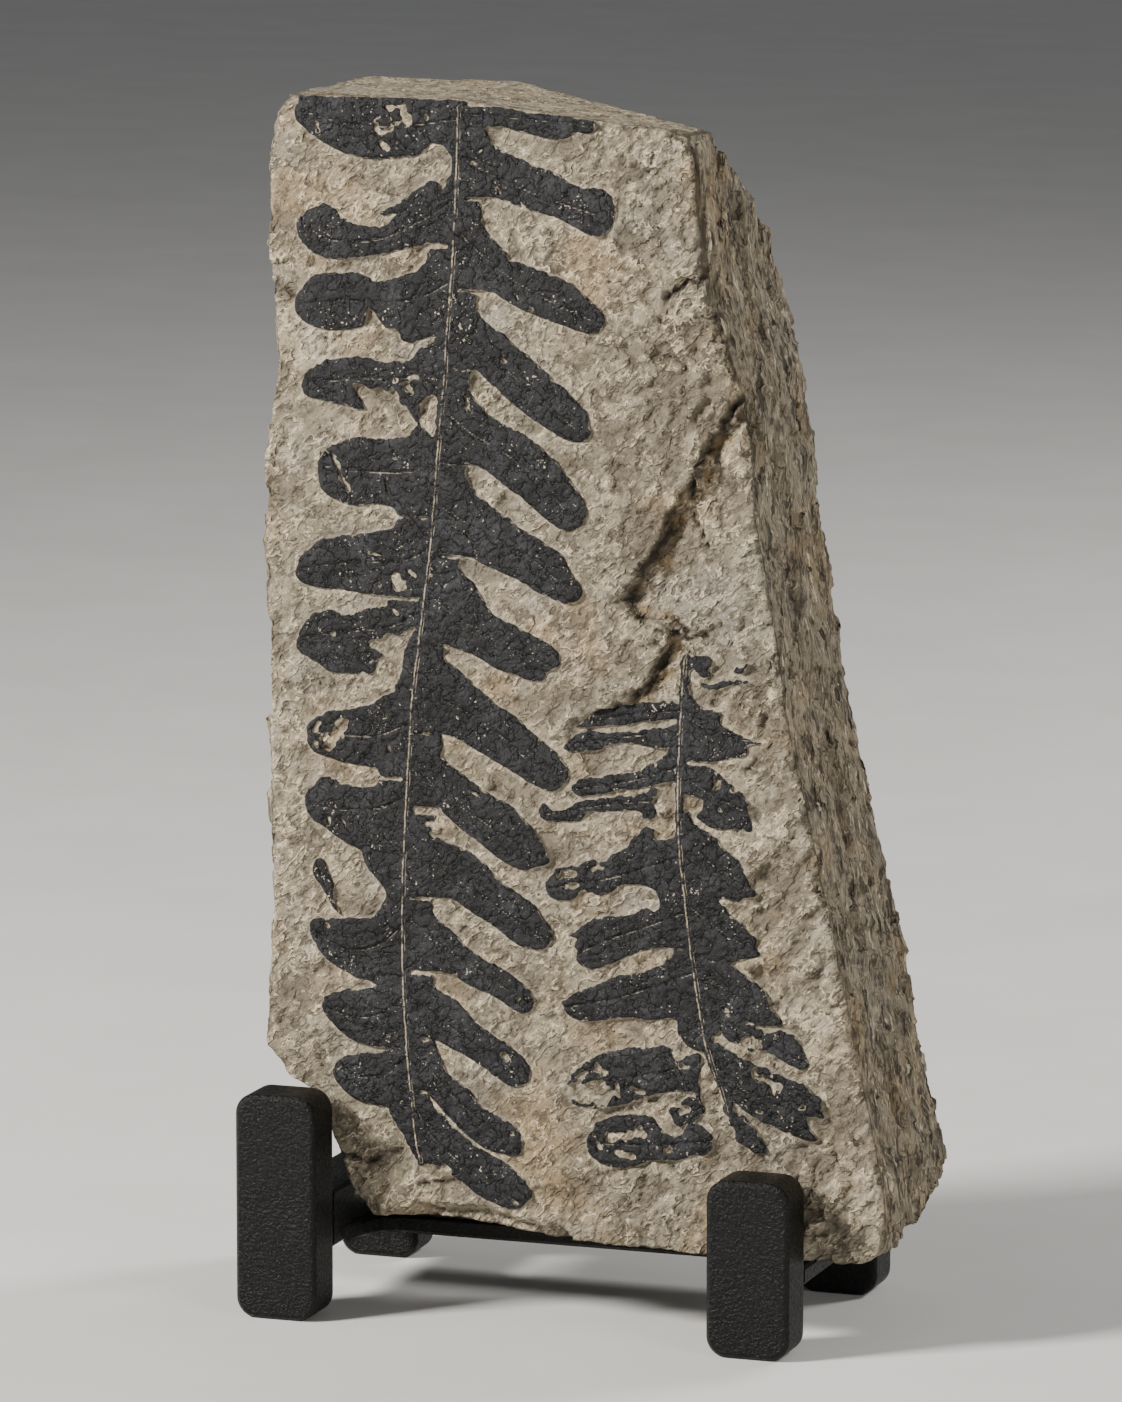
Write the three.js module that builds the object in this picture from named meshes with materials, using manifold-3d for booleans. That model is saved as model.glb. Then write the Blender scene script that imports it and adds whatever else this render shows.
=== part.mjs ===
// A leaning slab of shale with carbonised fern leaves on its front, in a low black metal stand.
// Millimetres, +Z up. On the slab, u runs right along the front, d runs into the stone, and v runs up.

import * as THREE from "three";
import { mergeVertices } from "three/addons/utils/BufferGeometryUtils.js";
import Module from "manifold-3d";

const wasm = await Module();
wasm.setup();

const { lerp, clamp, degToRad, smoothstep } = THREE.MathUtils;

// Driving dimensions of the slab
const SLAB_DEPTH = 50;
const LEAN = degToRad(4);
const SEAT_HEIGHT = 20.5;
const FOOT_LEFT = [26, 2.5];
const FOOT_RIGHT = [152.2, 2.2];
const TOP_LEFT = [-1.5, 266.5];
const TOP_RIGHT = [100.5, 260];
const EDGE_WEAR = 1.3;
const RIGHT_EDGE_WEAR = 2.2;
const LUMP = 1.1;

// Sides of the front outline, as [height, u] from the foot up
const LEFT_SIDE = [
  [2.5, 26], [8, 20.6], [18.3, 16.6], [32, 9.5], [36, 2.6], [42, -2.4], [77, -1.6], [124, -3.3],
  [180, -6], [206, -2.6], [230, -5.8], [252, -5.9], [262, -4.5], [266.5, -1.5],
];
const RIGHT_SIDE = [
  [2.2, 152.2], [7.4, 153], [20, 152], [39.8, 146.8], [73, 139.1], [129, 125], [171, 116.9],
  [199, 113.3], [227.5, 104.5], [250, 101.5], [260, 100.5],
];

// Foot and top of the front outline, as [u, height] from left to right
const FOOT_LINE = [[26, 2.5], [45, 3.3], [63, 1.8], [73, 1], [83, 0], [122, 0], [146, 0.4], [152.2, 2.2]];
const TOP_LINE = [[-1.5, 266.5], [40.5, 266.6], [74.5, 262.8], [100.5, 260]];

// Grid lines across the slab, as shares of its width, height and depth
const ACROSS = withNarrowEnds(15, 0.02);
const UPWARD = withNarrowEnds(26, 0.012);
const INWARD = [0, 0.06, 0.2, 0.25, 0.45, 0.5, 0.7, 0.76, 0.94, 1];

// How far each layer stands proud of the slab's right and left sides, from the front layer back
const LAYER_ENDS = [0.22, 0.47, 0.73, 1];
const RIGHT_LAYERS = [0, -1.1, 0.5, -0.8];
const LEFT_LAYERS = [0, 0.9, -0.4, 0.7];

// Three points [u, d, v] on each broken-off corner
const TOP_CORNER_BREAK = [[101.5, 10, 260], [104, 50, 234], [45, 50, 266]];
const FOOT_CORNER_BREAK = [[152, 3, 1.5], [90, 50, 3.5], [152, 50, 16.5]];

// The stepped ledge on the front, as [u, v, depth of the hollow below it]
const LEDGE = [
  [113, 200, 2], [111.8, 199.5, 3], [108.3, 194.7, 4.5], [103.6, 189.9, 5], [100.2, 180.5, 5.5],
  [94.3, 171, 6], [92.1, 165.1, 6], [86.6, 156.7, 5.5], [84.3, 152, 5], [88.8, 147.6, 4.5],
  [94.3, 145.1, 4.5], [95.1, 140.9, 4], [91.6, 133.8, 4], [86.4, 128.1, 3.5], [77.1, 125.6, 3],
  [72.8, 122.9, 2], [71.2, 116.3, 1], [70.5, 111, 0.2],
];
const HOLLOW_RIM = [
  [92, 100, 0], [116, 98, 0], [140, 104, 0], [132, 130, 0.5], [124, 160, 1], [120, 186, 1.5],
];
const LEDGE_SLANT = [0.4, -0.2];

// The layer missing along the foot of the front
const LIP = [
  [28.8, 4.2], [36.8, 7], [49.8, 8], [57.8, 6.7], [67.8, 5.1], [75.2, 4.2], [75.2, -4], [28.8, -4],
];
const LIP_DEPTH = 3.5;

// Leaf films
const LEAF_GAP = 0.3;
const LEAF_PROUD = 1;
const LEAF_REACH = 12;
const LEAF_FIELD = [
  [0, 12], [40, 9.6], [50, 9.2], [58, 7.9], [68, 6.3], [80, 5], [150, 5], [150, 150], [99, 258],
  [75, 261.6], [41, 265.2], [0, 265.2],
];

// Stems of the two fronds, from the top down, with half the width of leaf that runs along them
const LARGE_STEM = [
  [41.6, 268], [41.1, 229], [39.4, 196.5], [36.8, 159], [33.5, 126], [32.2, 86], [32.4, 65],
  [34.6, 36], [37.8, 17],
];
const LARGE_STEM_HALF = 5.4;
const SMALL_STEM = [
  [99.1, 137.8], [98.8, 120], [99.4, 106], [101.7, 83], [105.5, 60], [109.6, 44.6], [114.1, 32],
];
const SMALL_STEM_HALF = 2.4;

// Pinnules, as [start, middle, tip, width]
const LARGE_RIGHT = [
  [[41.5, 264], [59, 262], [75, 259.5], 8], [[41.8, 252], [59.4, 246], [80.1, 241.3], 10.9],
  [[41.5, 234], [56.3, 222.2], [78.6, 216.1], 10.4], [[40.4, 215], [55.5, 203.6], [75.6, 189.2], 10.4],
  [[39.4, 195], [58.4, 185.6], [73.6, 168.2], 10.9], [[38.2, 173], [56.5, 163.4], [74.3, 151.9], 11.9],
  [[36.2, 151], [52.1, 141], [69.3, 134.4], 10.9], [[34.5, 128], [52.6, 121.1], [72.4, 108], 10.9],
  [[32.9, 111], [50.6, 99.2], [67.9, 89.4], 11.4], [[32.6, 92], [51, 81.8], [68.6, 70.7], 10.9],
  [[32.2, 74], [46.4, 64.3], [64.8, 55.8], 8.4], [[32.9, 56], [49.3, 46.8], [64.5, 38.4], 7.9],
  [[34.2, 43], [44.7, 29.9], [63.4, 21.8], 8.4], [[35.4, 32], [45, 19.2], [65.4, 8.4], 9.9],
];
const LARGE_LEFT = [
  [[41.6, 260], [22.1, 258], [1.5, 259], 13.5], [[41.1, 240], [25.2, 232], [2.1, 235.6], 9.4],
  [[40.5, 222], [23, 217.9], [1.5, 218.1], 12.8], [[39.7, 202], [23.4, 199.1], [3.7, 198.5], 11.4],
  [[38.7, 181], [23.9, 178], [7.8, 179.2], 14.8], [[37.2, 162], [21.8, 157.8], [3.3, 154.5], 14.3],
  [[35.4, 144], [22.3, 139], [3.4, 138.5], 14.3], [[33.6, 123], [20.2, 117.7], [6.7, 113.6], 13.3],
  [[32.6, 103], [21.9, 97.5], [6.5, 100.8], 15.3], [[32.3, 70.5], [22.6, 65.1], [8.9, 71.1], 13.8],
  [[33.2, 53], [24.2, 49.3], [11.6, 52.7], 13.3], [[34.5, 38], [27.1, 34.3], [15.2, 38.2], 12.8],
];
const SMALL_LEFT = [
  [[99.1, 122.5], [84.2, 119.8], [72, 117.4], 9], [[99.5, 109], [84.6, 104.5], [66, 99.4], 8],
  [[100.6, 92], [85.1, 88.5], [67.7, 83.7], 10.4], [[102.2, 78], [90.3, 75.3], [73.5, 69.9], 10.9],
  [[104.3, 63], [90.7, 59.3], [71.6, 56.9], 10.9], [[107.2, 48], [93.7, 41.5], [73.8, 37], 11.6],
];
const SMALL_RIGHT = [
  [[99.1, 124], [107.5, 121.1], [117.5, 120.2], 8], [[99.5, 111], [107.9, 106.7], [117, 103], 10.9],
  [[100.6, 96], [108.3, 90.9], [117.9, 86.3], 11.4], [[102.2, 81], [110.4, 76.1], [118.8, 71.7], 10.4],
  [[104.5, 67], [113.9, 62.3], [124.5, 56], 8.9], [[106.5, 57], [119, 52.4], [132.3, 46.8], 7.4],
  [[108.6, 49.6], [121.7, 42.7], [136.2, 36.8], 7.4], [[110.7, 44], [121.9, 35.3], [134.7, 28.7], 7.4],
  [[112.3, 38.8], [115.5, 31.3], [121.5, 25.4], 5.4],
];
const SMALL_TIP = [
  [98, 139.4], [101.2, 140.5], [106.4, 138], [104.9, 134.8], [114.7, 135.4], [114.7, 133.2],
  [104, 131.6], [101, 133.5], [98, 134],
];
const LOOSE_PINNULE = [[109.7, 26.6], [94.1, 25], [78.1, 24.4], 10.6];
const LOW_SCRAP = [[99.6, 32.8], [101.6, 34.8], [103.9, 35.6], [107.2, 33.6], [104.4, 32.6], [101.9, 31.6]];
const LEFT_SCRAP = [[10.8, 88], [12, 83.5], [14.2, 79.6], 4];

// Stand
const POST_WIDE = 20;
const POST_THICK = 12.5;
const POST_CORNER = 5;
const STEEL_EDGE = 0.8;
const POST_FACE = -0.5;
const LEFT_POST_X = -3.6;
const RIGHT_POST_X = 113;
const LEFT_POST_TALL = 54;
const RIGHT_POST_TALL = 42;
const REAR_POST_FACE = 55.6;
const REAR_POST_TALL = 92;
const BAR_LOW = 15.5;
const BAR_HIGH = 20;
const LEFT_ARM_HIGH = 29.3;
const ARM_WIDE = 14;
const CROSS_FRONT = 19;
const CROSS_DEEP = 12.5;
const GUSSET_WIDE = 9;
const GUSSET_DEEP = 15;
const WELD_GAP = 0.3;

// A share list with a narrow first and last step.
function withNarrowEnds(steps, narrow) {
  const list = [0];
  for (let i = 0; i <= steps; i += 1) {
    list.push(lerp(narrow, 1 - narrow, i / steps));
  }
  list.push(1);
  return list;
}

// The straight-line value at x of a list of [x, value] pairs.
function valueAt(pairs, x) {
  let i = 0;
  while (i < pairs.length - 2 && x > pairs[i + 1][0]) {
    i += 1;
  }
  const [x0, y0] = pairs[i];
  const [x1, y1] = pairs[i + 1];
  return lerp(y0, y1, clamp((x - x0) / (x1 - x0), 0, 1));
}

// A point of the front outline's inside, blended from its four sides; s runs right and t runs up.
function frontPoint(s, t) {
  const leftV = lerp(FOOT_LEFT[1], TOP_LEFT[1], t);
  const rightV = lerp(FOOT_RIGHT[1], TOP_RIGHT[1], t);
  const footU = lerp(FOOT_LEFT[0], FOOT_RIGHT[0], s);
  const topU = lerp(TOP_LEFT[0], TOP_RIGHT[0], s);
  const left = [valueAt(LEFT_SIDE, leftV), leftV];
  const right = [valueAt(RIGHT_SIDE, rightV), rightV];
  const foot = [footU, valueAt(FOOT_LINE, footU)];
  const top = [topU, valueAt(TOP_LINE, topU)];
  return [0, 1].map((axis) => {
    const sides = lerp(left[axis], right[axis], s) + lerp(foot[axis], top[axis], t);
    const low = lerp(FOOT_LEFT[axis], FOOT_RIGHT[axis], s);
    const high = lerp(TOP_LEFT[axis], TOP_RIGHT[axis], s);
    return sides - lerp(low, high, t);
  });
}

// Gentle lumps between 0 and 1.
function lumps(a, b, phase) {
  const first = Math.sin(a / 8.3 + phase) * Math.cos(b / 10.7 - phase);
  const second = Math.sin(a / 5.1 - b / 6.9 + 2 * phase);
  return 0.5 + 0.3 * first + 0.2 * second;
}

// The stand-out of the layer at depth share w on one side of the slab.
function layerOffset(layers, w, v) {
  const layer = LAYER_ENDS.findIndex((end) => w <= end);
  return layers[layer] * (0.7 + 0.3 * Math.sin(v / 31 + layer));
}

// -1, 0 or 1: which way is inward at this end of a 0 to 1 range.
function inwardAt(share) {
  if (share === 0) {
    return 1;
  }
  return share === 1 ? -1 : 0;
}

// A point of the slab's skin from its shares of width, height and depth.
function slabPoint(s, t, w) {
  const [u, v] = frontPoint(s, t);
  const point = new THREE.Vector3(u, w * SLAB_DEPTH, v + w * SLAB_DEPTH * Math.tan(LEAN));
  const [inU, inV, inD] = [inwardAt(s), inwardAt(t), inwardAt(w)];
  if (inU !== 0 || inV !== 0) {
    point.y += inD * (s === 1 ? RIGHT_EDGE_WEAR : EDGE_WEAR);
  }
  if (s === 1) {
    point.x += layerOffset(RIGHT_LAYERS, w, v);
  }
  if (s === 0) {
    point.x += layerOffset(LEFT_LAYERS, w, v);
  }
  point.x += inU * LUMP * (lumps(v, point.y, 1.3) - 0.5);
  point.y += inD * LUMP * lumps(u, v, 0.4 + inD);
  point.z += Math.min(inV, 0) * LUMP * (lumps(u, point.y, 2.2) - 0.5);
  return point;
}

// Moves a point that lies beyond a broken corner onto the break.
function clampToBreak(point, corners) {
  const plane = new THREE.Plane().setFromCoplanarPoints(...corners.map((c) => new THREE.Vector3(...c)));
  const beyond = plane.distanceToPoint(point);
  if (beyond > 0) {
    point.addScaledVector(plane.normal, -beyond);
  }
}

// A closed box of grid faces, with every grid corner placed by one function.
function gridBox(placeCorner) {
  const sizes = [ACROSS.length - 1, UPWARD.length - 1, INWARD.length - 1];
  const positions = [];
  const triangles = [];
  const numbers = new Map();
  const corner = (cell) => {
    const key = cell.join(",");
    if (!numbers.has(key)) {
      numbers.set(key, positions.length / 3);
      positions.push(...placeCorner(ACROSS[cell[0]], UPWARD[cell[1]], INWARD[cell[2]]));
    }
    return numbers.get(key);
  };
  const addFace = (axis, end) => {
    const [a, b] = [(axis + 1) % 3, (axis + 2) % 3];
    for (let i = 0; i < sizes[a]; i += 1) {
      for (let j = 0; j < sizes[b]; j += 1) {
        const at = (p, q) => {
          const cell = [0, 0, 0];
          cell[axis] = end;
          cell[a] = i + p;
          cell[b] = j + q;
          return corner(cell);
        };
        const ring = [at(0, 0), at(1, 0), at(1, 1), at(0, 1)];
        const outward = end === 0 ? ring : ring.reverse();
        triangles.push(outward[0], outward[1], outward[2], outward[0], outward[2], outward[3]);
      }
    }
  };
  for (const axis of [0, 1, 2]) {
    addFace(axis, 0);
    addFace(axis, sizes[axis]);
  }
  return meshGeometry(positions, triangles);
}

function meshGeometry(positions, triangles) {
  const geometry = new THREE.BufferGeometry();
  geometry.setAttribute("position", new THREE.Float32BufferAttribute(positions, 3));
  geometry.setIndex(triangles);
  return geometry;
}

// A geometry as a solid that can be joined and cut.
function toSolid(geometry) {
  const bare = geometry.clone();
  bare.deleteAttribute("normal");
  bare.deleteAttribute("uv");
  const merged = mergeVertices(bare, 1e-4);
  return new wasm.Manifold(new wasm.Mesh({
    numProp: 3,
    vertProperties: new Float32Array(merged.attributes.position.array),
    triVerts: new Uint32Array(merged.index.array),
  }));
}

function toGeometry(solid) {
  const mesh = solid.getMesh();
  return meshGeometry(Array.from(mesh.vertProperties), Array.from(mesh.triVerts));
}

// A prism through the front of the slab, from a flat outline of [u, v] points.
function frontPrism(outline, nearD, farD) {
  const shape = new THREE.Shape(outline.map(([u, v]) => new THREE.Vector2(u, v)));
  const prism = new THREE.ExtrudeGeometry(shape, { depth: farD - nearD, bevelEnabled: false });
  prism.rotateX(Math.PI / 2);
  prism.translate(0, farD, 0);
  return toSolid(prism);
}

// The cutter under the ledge: its roof lies off the slab and its floor has a depth at each corner.
function hollowCutter() {
  const rim = [...LEDGE, ...HOLLOW_RIM];
  const roof = -4;
  const count = rim.length;
  const at = ([u, v], depth) => [u + LEDGE_SLANT[0] * depth, depth, v + LEDGE_SLANT[1] * depth];
  const positions = [...rim.flatMap((p) => at(p, roof)), ...rim.flatMap((p) => at(p, p[2]))];
  const flat = rim.map(([u, v]) => new THREE.Vector2(u, v));
  const clockwise = THREE.ShapeUtils.isClockWise(flat);
  const triangles = [];
  const add = (a, b, c) => triangles.push(...(clockwise ? [a, c, b] : [a, b, c]));
  for (const [a, b, c] of THREE.ShapeUtils.triangulateShape(flat, [])) {
    const turned = new THREE.Triangle(...[a, b, c].map((n) => new THREE.Vector3(flat[n].x, flat[n].y, 0)));
    const [p, q, r] = turned.getNormal(new THREE.Vector3()).z > 0 ? [a, b, c] : [a, c, b];
    triangles.push(p, q, r, count + p, count + r, count + q);
  }
  for (let i = 0; i < count; i += 1) {
    const next = (i + 1) % count;
    add(i, count + i, count + next);
    add(i, count + next, next);
  }
  return toSolid(meshGeometry(positions, triangles));
}

function makeSlab() {
  const block = gridBox((s, t, w) => {
    const point = slabPoint(s, t, w);
    clampToBreak(point, TOP_CORNER_BREAK);
    clampToBreak(point, FOOT_CORNER_BREAK);
    return point.toArray();
  });
  const lip = frontPrism(LIP, -4, LIP_DEPTH);
  return toSolid(block).subtract(hollowCutter()).subtract(lip);
}

// The outline of a leaf lobe around a bent midrib, with a round tip.
function lobeOutline([start, middle, tip, width]) {
  const points = [start, middle, tip].map(([u, v]) => new THREE.Vector2(u, v));
  const midrib = new THREE.SplineCurve(points);
  const half = width / 2;
  const tipStart = 1 - half / midrib.getLength();
  const stations = [0, 0.4, 0.8].map((share) => [share * tipStart, half]);
  for (const angle of [0, 50].map(degToRad)) {
    stations.push([lerp(tipStart, 1, Math.sin(angle)), half * Math.cos(angle)]);
  }
  const side = (sign) => stations.map(([share, reach]) => {
    const tangent = midrib.getTangentAt(share);
    const normal = new THREE.Vector2(-tangent.y, tangent.x);
    return midrib.getPointAt(share).addScaledVector(normal, sign * reach);
  });
  const outline = [...side(1), midrib.getPointAt(1), ...side(-1).reverse()];
  return outline.map((p) => [p.x, p.y]);
}

// The strip of leaf along a stem, a little narrower at its lower end.
function stemOutline(stem, half) {
  const curve = new THREE.SplineCurve(stem.map(([u, v]) => new THREE.Vector2(u, v)));
  const steps = 2 * stem.length;
  const right = [];
  const left = [];
  for (let i = 0; i <= steps; i += 1) {
    const share = i / steps;
    const reach = half * lerp(1, 0.3, smoothstep(share, 0.85, 1));
    const point = curve.getPointAt(share);
    right.push([point.x + reach, point.y]);
    left.push([point.x - reach, point.y]);
  }
  return [...right, ...left.reverse()];
}

// A skin that lies just off the front of the slab.
function leafSkin(slabGeometry) {
  const outer = toSolid(slabGeometry.clone().translate(0, -LEAF_PROUD, 0));
  const inner = toSolid(slabGeometry.clone().translate(0, -LEAF_GAP, 0));
  return outer.subtract(inner).intersect(frontPrism(LEAF_FIELD, -LEAF_REACH, LEAF_REACH));
}

// A leaf film cut from the skin by one or more outlines that run into each other.
function makeLeaf(skin, outlines) {
  const prisms = outlines.map((outline) => frontPrism(outline, -LEAF_REACH, LEAF_REACH));
  const joined = prisms.reduce((sum, prism) => sum.add(prism));
  return toGeometry(skin.intersect(joined));
}

// A bar of rounded outline in the XZ plane, thick along Y.
function uprightBar(x, y, wide, tall) {
  const inset = STEEL_EDGE;
  const r = POST_CORNER - inset;
  const [x0, x1, z0, z1] = [inset, wide - inset, inset, tall - inset];
  const shape = new THREE.Shape();
  shape.moveTo(x0 + r, z0);
  shape.lineTo(x1 - r, z0);
  shape.absarc(x1 - r, z0 + r, r, -Math.PI / 2, 0);
  shape.absarc(x1 - r, z1 - r, r, 0, Math.PI / 2);
  shape.absarc(x0 + r, z1 - r, r, Math.PI / 2, Math.PI);
  shape.absarc(x0 + r, z0 + r, r, Math.PI, 1.5 * Math.PI);
  return steelPiece(shape, POST_THICK).rotateX(Math.PI / 2).translate(x, y + POST_THICK, 0);
}

// A flat bar drawn in plan and thick along Z.
function flatBar(shape, low, high) {
  return steelPiece(shape, high - low).translate(0, 0, low);
}

function steelPiece(shape, thick) {
  return new THREE.ExtrudeGeometry(shape, {
    depth: thick - 2 * STEEL_EDGE,
    bevelThickness: STEEL_EDGE,
    bevelSize: STEEL_EDGE,
    bevelSegments: 1,
    curveSegments: 3,
  }).translate(0, 0, STEEL_EDGE);
}

function planRectangle(x0, x1, y0, y1) {
  const e = STEEL_EDGE;
  const corners = [[x0 + e, y0 + e], [x1 - e, y0 + e], [x1 - e, y1 - e], [x0 + e, y1 - e]];
  return new THREE.Shape(corners.map(([x, y]) => new THREE.Vector2(x, y)));
}

// The front cross bar, whose front edge sweeps forward to meet each arm.
function crossBarPlan(x0, x1) {
  const e = STEEL_EDGE;
  const front = CROSS_FRONT + e;
  const shape = new THREE.Shape();
  shape.moveTo(x0 + e, front - GUSSET_DEEP);
  shape.quadraticCurveTo(x0 + e + 1, front, x0 + GUSSET_WIDE, front);
  shape.lineTo(x1 - GUSSET_WIDE, front);
  shape.quadraticCurveTo(x1 - e - 1, front, x1 - e, front - GUSSET_DEEP);
  shape.lineTo(x1 - e, CROSS_FRONT + CROSS_DEEP - e);
  shape.lineTo(x0 + e, CROSS_FRONT + CROSS_DEEP - e);
  return shape;
}

function makeStand() {
  const leftArmEnd = LEFT_POST_X + POST_WIDE;
  const rightArmEnd = RIGHT_POST_X + POST_WIDE;
  const armFront = POST_FACE + WELD_GAP;
  const armBack = REAR_POST_FACE - WELD_GAP;
  const crossLeft = leftArmEnd + WELD_GAP;
  const crossRight = rightArmEnd - ARM_WIDE - WELD_GAP;
  const rearCross = [leftArmEnd + WELD_GAP, RIGHT_POST_X - WELD_GAP];
  const leftArm = planRectangle(leftArmEnd - ARM_WIDE, leftArmEnd, armFront, armBack);
  const rightArm = planRectangle(rightArmEnd - ARM_WIDE, rightArmEnd, armFront, armBack);
  const rearBar = planRectangle(...rearCross, REAR_POST_FACE, REAR_POST_FACE + POST_THICK);
  const frontY = POST_FACE - POST_THICK;
  return {
    front_post_left: uprightBar(LEFT_POST_X, frontY, POST_WIDE, LEFT_POST_TALL),
    front_post_right: uprightBar(RIGHT_POST_X, frontY, POST_WIDE, RIGHT_POST_TALL),
    rear_post_left: uprightBar(LEFT_POST_X, REAR_POST_FACE, POST_WIDE, REAR_POST_TALL),
    rear_post_right: uprightBar(RIGHT_POST_X, REAR_POST_FACE, POST_WIDE, REAR_POST_TALL),
    side_arm_left: flatBar(leftArm, BAR_LOW, LEFT_ARM_HIGH),
    side_arm_right: flatBar(rightArm, BAR_LOW, BAR_HIGH),
    cross_bar_front: flatBar(crossBarPlan(crossLeft, crossRight), BAR_LOW, BAR_HIGH),
    cross_bar_rear: flatBar(rearBar, BAR_LOW, BAR_HIGH),
  };
}

function makeLeaves(slab) {
  const skin = leafSkin(toGeometry(slab));
  const largeLobes = [...LARGE_RIGHT, ...LARGE_LEFT].map(lobeOutline);
  const smallLobes = [...SMALL_LEFT, ...SMALL_RIGHT].map(lobeOutline);
  return {
    large_frond: makeLeaf(skin, [stemOutline(LARGE_STEM, LARGE_STEM_HALF), ...largeLobes]),
    small_frond: makeLeaf(skin, [stemOutline(SMALL_STEM, SMALL_STEM_HALF), SMALL_TIP, ...smallLobes]),
    loose_pinnule: makeLeaf(skin, [lobeOutline(LOOSE_PINNULE)]),
    leaf_scrap_low: makeLeaf(skin, [LOW_SCRAP]),
    leaf_scrap_left: makeLeaf(skin, [lobeOutline(LEFT_SCRAP)]),
  };
}

function addMeshes(group, pieces, material) {
  for (const [name, geometry] of Object.entries(pieces)) {
    const mesh = new THREE.Mesh(geometry, material.clone());
    mesh.name = name;
    group.add(mesh);
  }
}

function makePlate() {
  const stone = new THREE.MeshStandardMaterial({ color: 0xaba18f, roughness: 0.92, metalness: 0 });
  const leaf = new THREE.MeshStandardMaterial({ color: 0x2c2c2e, roughness: 0.6, metalness: 0 });
  const steel = new THREE.MeshStandardMaterial({ color: 0x1b1b1c, roughness: 0.55, metalness: 0.2 });
  const slab = makeSlab();
  const leaning = new THREE.Group();
  addMeshes(leaning, { slab: toGeometry(slab) }, stone);
  addMeshes(leaning, makeLeaves(slab), leaf);
  leaning.position.z = SEAT_HEIGHT;
  leaning.rotation.x = -LEAN;
  const plate = new THREE.Group();
  plate.add(leaning);
  addMeshes(plate, makeStand(), steel);
  const middle = new THREE.Box3().setFromObject(plate, true).getCenter(new THREE.Vector3());
  plate.position.set(-middle.x, -middle.y, 0);
  return plate;
}

export default makePlate();
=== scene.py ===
import math

import bpy
import numpy as np
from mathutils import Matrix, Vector


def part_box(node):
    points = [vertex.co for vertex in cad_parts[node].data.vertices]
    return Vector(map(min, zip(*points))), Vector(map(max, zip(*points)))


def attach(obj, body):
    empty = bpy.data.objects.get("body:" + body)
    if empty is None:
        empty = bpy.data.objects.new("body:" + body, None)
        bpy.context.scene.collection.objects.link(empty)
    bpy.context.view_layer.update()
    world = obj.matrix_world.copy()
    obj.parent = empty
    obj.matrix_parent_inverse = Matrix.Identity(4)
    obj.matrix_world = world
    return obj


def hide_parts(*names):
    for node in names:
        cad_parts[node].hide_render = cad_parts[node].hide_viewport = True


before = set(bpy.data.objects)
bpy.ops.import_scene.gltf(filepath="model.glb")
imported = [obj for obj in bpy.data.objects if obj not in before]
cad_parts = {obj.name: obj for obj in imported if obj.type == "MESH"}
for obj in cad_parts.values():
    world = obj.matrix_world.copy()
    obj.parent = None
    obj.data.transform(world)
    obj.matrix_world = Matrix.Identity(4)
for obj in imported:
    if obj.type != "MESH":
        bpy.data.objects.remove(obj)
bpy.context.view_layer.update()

# The slab's own directions: u runs right along the front, d runs into the stone, v runs up. All in mm.
MM = 0.001
SLAB_DEPTH = 50.0
LEAN = math.radians(4)
SEAT_HEIGHT = 20.5
FOOT_LEFT, FOOT_RIGHT = (26.0, 2.5), (152.2, 2.2)
TOP_LEFT, TOP_RIGHT = (-1.5, 266.5), (100.5, 260.0)
LEFT_SIDE = [
    (2.5, 26), (8, 20.6), (18.3, 16.6), (32, 9.5), (36, 2.6), (42, -2.4), (77, -1.6), (124, -3.3),
    (180, -6), (206, -2.6), (230, -5.8), (252, -5.9), (262, -4.5), (266.5, -1.5),
]
RIGHT_SIDE = [
    (2.2, 152.2), (7.4, 153), (20, 152), (39.8, 146.8), (73, 139.1), (129, 125), (171, 116.9),
    (199, 113.3), (227.5, 104.5), (250, 101.5), (260, 100.5),
]
FOOT_LINE = [(26, 2.5), (45, 3.3), (63, 1.8), (73, 1), (83, 0), (122, 0), (146, 0.4), (152.2, 2.2)]
TOP_LINE = [(-1.5, 266.5), (40.5, 266.6), (74.5, 262.8), (100.5, 260)]
LAYER_ENDS = (0.22, 0.47, 0.73)
RIGHT_LAYERS = (0.0, -1.1, 0.5, -0.8)
LEFT_LAYERS = (0.0, 0.9, -0.4, 0.7)
TOP_CORNER_BREAK = ((101.5, 10, 260), (104, 50, 234), (45, 50, 266))
FOOT_CORNER_BREAK = ((152, 3, 1.5), (90, 50, 3.5), (152, 50, 16.5))
TOP_WEAR = 0.9
SLAB_HEIGHT = 262.0
FOOT_CLEARANCE, POST_CLEARANCE, POST_REACH = 0.05, 0.1, 42
ACROSS, UPWARD, INWARD = 168, 336, 44

# The stepped ledge, as (u, v, depth of the hollow below it), and the far rim of that hollow
LEDGE = [
    (113, 200, 2), (111.8, 199.5, 3), (108.3, 194.7, 4.5), (103.6, 189.9, 5), (100.2, 180.5, 5.5),
    (94.3, 171, 6), (92.1, 165.1, 6), (86.6, 156.7, 5.5), (84.3, 152, 5), (88.8, 147.6, 4.5),
    (94.3, 145.1, 4.5), (95.1, 140.9, 4), (91.6, 133.8, 4), (86.4, 128.1, 3.5), (77.1, 125.6, 3),
    (72.8, 122.9, 2), (71.2, 116.3, 1), (70.5, 111, 0.2),
]
HOLLOW_RIM = [(92, 100, 0), (116, 98, 0), (140, 104, 0), (132, 130, 0.5), (124, 160, 1), (120, 186, 1.5)]
# The photo's shadow under the ledge is narrow, so the hollow gets only this share of those depths
HOLLOW_SHARE = 0.72
LIP = [(28.8, 4.2), (36.8, 7), (49.8, 8), (57.8, 6.7), (67.8, 5.1), (75.2, 4.2), (75.2, -4), (28.8, -4)]
LIP_DEPTH = 3.5

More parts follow.
